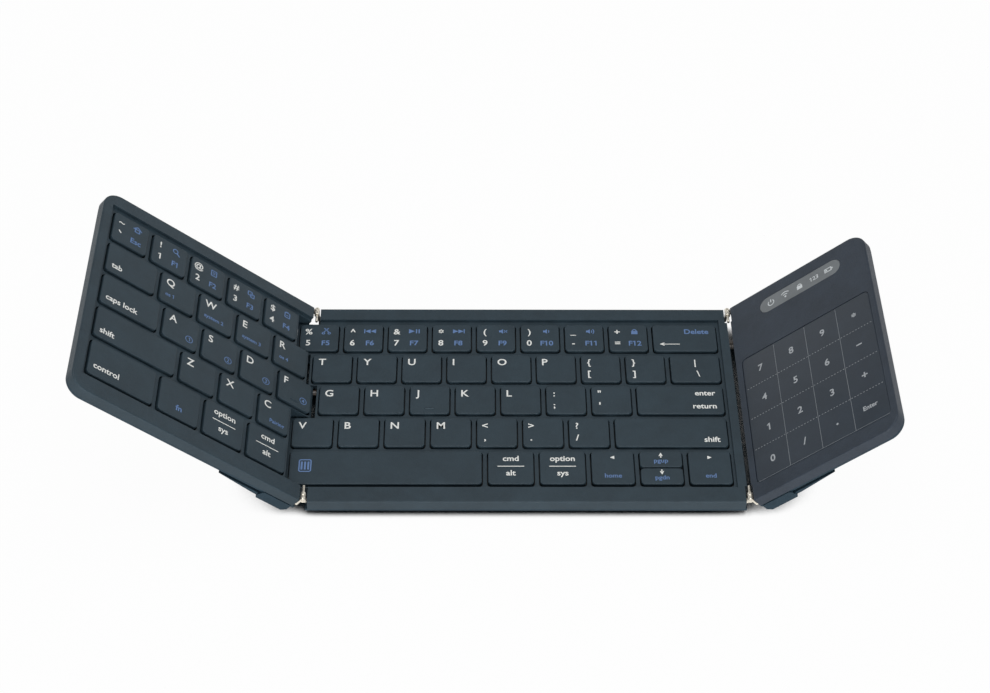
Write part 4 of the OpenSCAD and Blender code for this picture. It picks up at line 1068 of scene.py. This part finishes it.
def lay_floor(scene):
    """White paper with a painted shadow: where the keyboard covers it closely, within 30 mm, its colour
    is darkened.
    """
    tree, _ = blank("Paper floor, matt white")
    seen = traced_rays(tree)
    # Painted shadow: ambient occlusion within 30 mm fades the paper's white and darkens its colour
    # where the keyboard covers it closely
    cover = add(tree, "ShaderNodeAmbientOcclusion", {"Distance": 0.03}, samples=24)
    bare = add(tree, "ShaderNodeMapRange", {"Value": cover.outputs["AO"], "From Min": 0.3,
                                            "From Max": 0.5, "To Max": 0.97})
    share = add(tree, "ShaderNodeMath", {0: seen.outputs[0], 1: bare.outputs["Result"]},
                operation="MULTIPLY")
    # The painted shadow's colour, a dark teal grey, where the paper is covered
    tone = add(tree, "ShaderNodeMix", {0: bare.outputs["Result"], 6: shade(linear("#1E272C")),
                                       7: (0.8, 0.8, 0.8, 1)}, data_type="RGBA")
    paper = add(tree, "ShaderNodeBsdfDiffuse", {"Color": tone.outputs[2]})
    white = add(tree, "ShaderNodeEmission", {"Color": (1, 1, 1, 1), "Strength": 1.0})
    both = add(tree, "ShaderNodeMixShader",
               {0: share.outputs[0], 1: paper.outputs[0], 2: white.outputs[0]})
    add(tree, "ShaderNodeOutputMaterial", {"Surface": both.outputs[0]})
    build, half = Builder(), 3000
    build.face([(-half, -half, 0), (half, -half, 0), (half, half, 0), (-half, half, 0)],
               "Paper floor, matt white")
    # The paper lies a hair under the feet, so that no two faces share a place
    below = Matrix.Translation((0, 0, -0.0002))
    floor = bpy.data.objects.new("floor", build.mesh_data("floor", below))
    scene.collection.objects.link(floor)


def light_sky(scene, settings):
    """Even light, stronger from the front and weak at the sides, before a low white wall."""
    world = bpy.data.worlds.new("Studio")
    scene.world = world
    world.use_nodes = True
    tree = world.node_tree
    tree.nodes.clear()
    # Of a direction, Y is -1 in front and 1 behind, X is 1 or -1 aside, and Z is 1 overhead
    way = add(tree, "ShaderNodeSeparateXYZ", {0: add(tree, "ShaderNodeTexCoord").outputs["Generated"]})
    strength = add(tree, "ShaderNodeMapRange",
                   {"Value": way.outputs["Y"], "From Min": -0.6, "From Max": 0.6,
                    "To Min": settings.front_sky, "To Max": settings.back_sky})
    aside = add(tree, "ShaderNodeMath", {0: way.outputs["X"]}, operation="ABSOLUTE")
    dimmed = add(tree, "ShaderNodeMapRange",
                 {"Value": aside.outputs[0], "From Min": 0.35, "From Max": 0.85,
                  "To Min": 1.0, "To Max": 0.3})
    strength = add(tree, "ShaderNodeMath", {0: strength.outputs["Result"], 1: dimmed.outputs["Result"]},
                   operation="MULTIPLY")
    even = add(tree, "ShaderNodeBackground", {"Color": (0.94, 0.98, 1.0, 1),
                                              "Strength": strength.outputs[0]})
    white = add(tree, "ShaderNodeBackground", {"Color": (1, 1, 1, 1), "Strength": 1.0})
    seen = traced_rays(tree)
    wall = add(tree, "ShaderNodeMapRange", {"Value": way.outputs["Z"], "From Min": 0.3,
                                            "From Max": 0.55, "To Min": 1.0, "To Max": 0.0})
    share = add(tree, "ShaderNodeMath", {0: seen.outputs[0], 1: wall.outputs["Result"]},
                operation="MULTIPLY")
    both = add(tree, "ShaderNodeMixShader",
               {0: share.outputs[0], 1: even.outputs[0], 2: white.outputs[0]})
    add(tree, "ShaderNodeOutputWorld", {"Surface": both.outputs[0]})


def hang_lamp(scene, name, watts, size, place, target):
    lamp = bpy.data.lights.new(name, "AREA")
    lamp.energy, lamp.size = watts, size
    holder = bpy.data.objects.new(name, lamp)
    scene.collection.objects.link(holder)
    holder.location = place
    holder.rotation_euler = (Vector(target) - Vector(place)).to_track_quat("-Z", "Y").to_euler()


def set_camera(scene, settings):
    """The camera at the photograph's angle."""
    data = bpy.data.cameras.new("camera")
    data.sensor_width, data.lens = 36, settings.lens
    data.clip_start, data.clip_end = 0.01, 50
    holder = bpy.data.objects.new("camera", data)
    scene.collection.objects.link(holder)
    pitch, yaw, roll = settings.pitch, settings.yaw, settings.roll
    level = math.cos(pitch)
    ahead = Vector((math.sin(yaw) * level, math.cos(yaw) * level, -math.sin(pitch)))
    right = Vector((math.cos(yaw), -math.sin(yaw), 0))
    down = ahead.cross(right)
    x_axis = right * math.cos(roll) + down * math.sin(roll)
    y_axis = right * math.sin(roll) - down * math.cos(roll)
    turn = Matrix((x_axis, y_axis, -ahead)).transposed().to_4x4()
    holder.matrix_world = Matrix.Translation(Vector(settings.place)) @ turn
    scene.camera = holder


class KEYBOARD_OT_stage(bpy.types.Operator):
    """Sets the pale floor, the soft lamps and the camera at the photograph's angle"""
    bl_idname = "keyboard.stage"
    bl_label = "Stage"

    def execute(self, context):
        scene, settings = context.scene, context.scene.keyboard_stage
        lay_floor(scene)
        light_sky(scene, settings)
        # Sizes and places in metres: one lamp above, and two low ones in front on either side
        hang_lamp(scene, "overhead lamp", settings.overhead, 1.0, (0, 0.1, 1.2), (0, 0, 0))
        for name, x in (("front left lamp", -0.4), ("front right lamp", 0.4)):
            hang_lamp(scene, name, settings.front, 0.6, (x, -1.1, 0.22), (0, 0, 0.01))
        set_camera(scene, settings)
        scene.view_settings.view_transform = "Standard"
        return {"FINISHED"}


class KEYBOARD_PT_panel(bpy.types.Panel):
    """Lists the keyboard's pieces and settings"""
    bl_idname = "KEYBOARD_PT_panel"
    bl_label = "Folding keyboard"
    bl_space_type = "VIEW_3D"
    bl_region_type = "UI"
    bl_category = "Keyboard"

    def draw(self, context):
        for operator in OPERATORS:
            self.layout.operator(operator.bl_idname)
        for name, _ in GROUPS:
            group = getattr(context.scene, name)
            box = self.layout.box()
            for setting in group.__annotations__:
                box.prop(group, setting)


OPERATORS = (KEYBOARD_OT_finishes, KEYBOARD_OT_cases, KEYBOARD_OT_hardware, KEYBOARD_OT_key_caps,
             KEYBOARD_OT_key_supports, KEYBOARD_OT_ribbons, KEYBOARD_OT_touch_pad,
             KEYBOARD_OT_window, KEYBOARD_OT_stage)
GROUPS = (("keyboard_caps", CapSizes), ("keyboard_prints", PrintSizes), ("keyboard_case", CaseSizes),
          ("keyboard_finishes", Finishes), ("keyboard_stage", StageSettings))


def register():
    for name, group in GROUPS:
        bpy.utils.register_class(group)
        setattr(bpy.types.Scene, name, PointerProperty(type=group))
    for made in (*OPERATORS, KEYBOARD_PT_panel):
        bpy.utils.register_class(made)


def unregister():
    for made in (KEYBOARD_PT_panel, *reversed(OPERATORS)):
        bpy.utils.unregister_class(made)
    for name, group in reversed(GROUPS):
        delattr(bpy.types.Scene, name)
        bpy.utils.unregister_class(group)


def main():
    register()
    for operator in OPERATORS:
        category, name = operator.bl_idname.split(".")
        getattr(getattr(bpy.ops, category), name)()


if __name__ == "__main__":
    main()
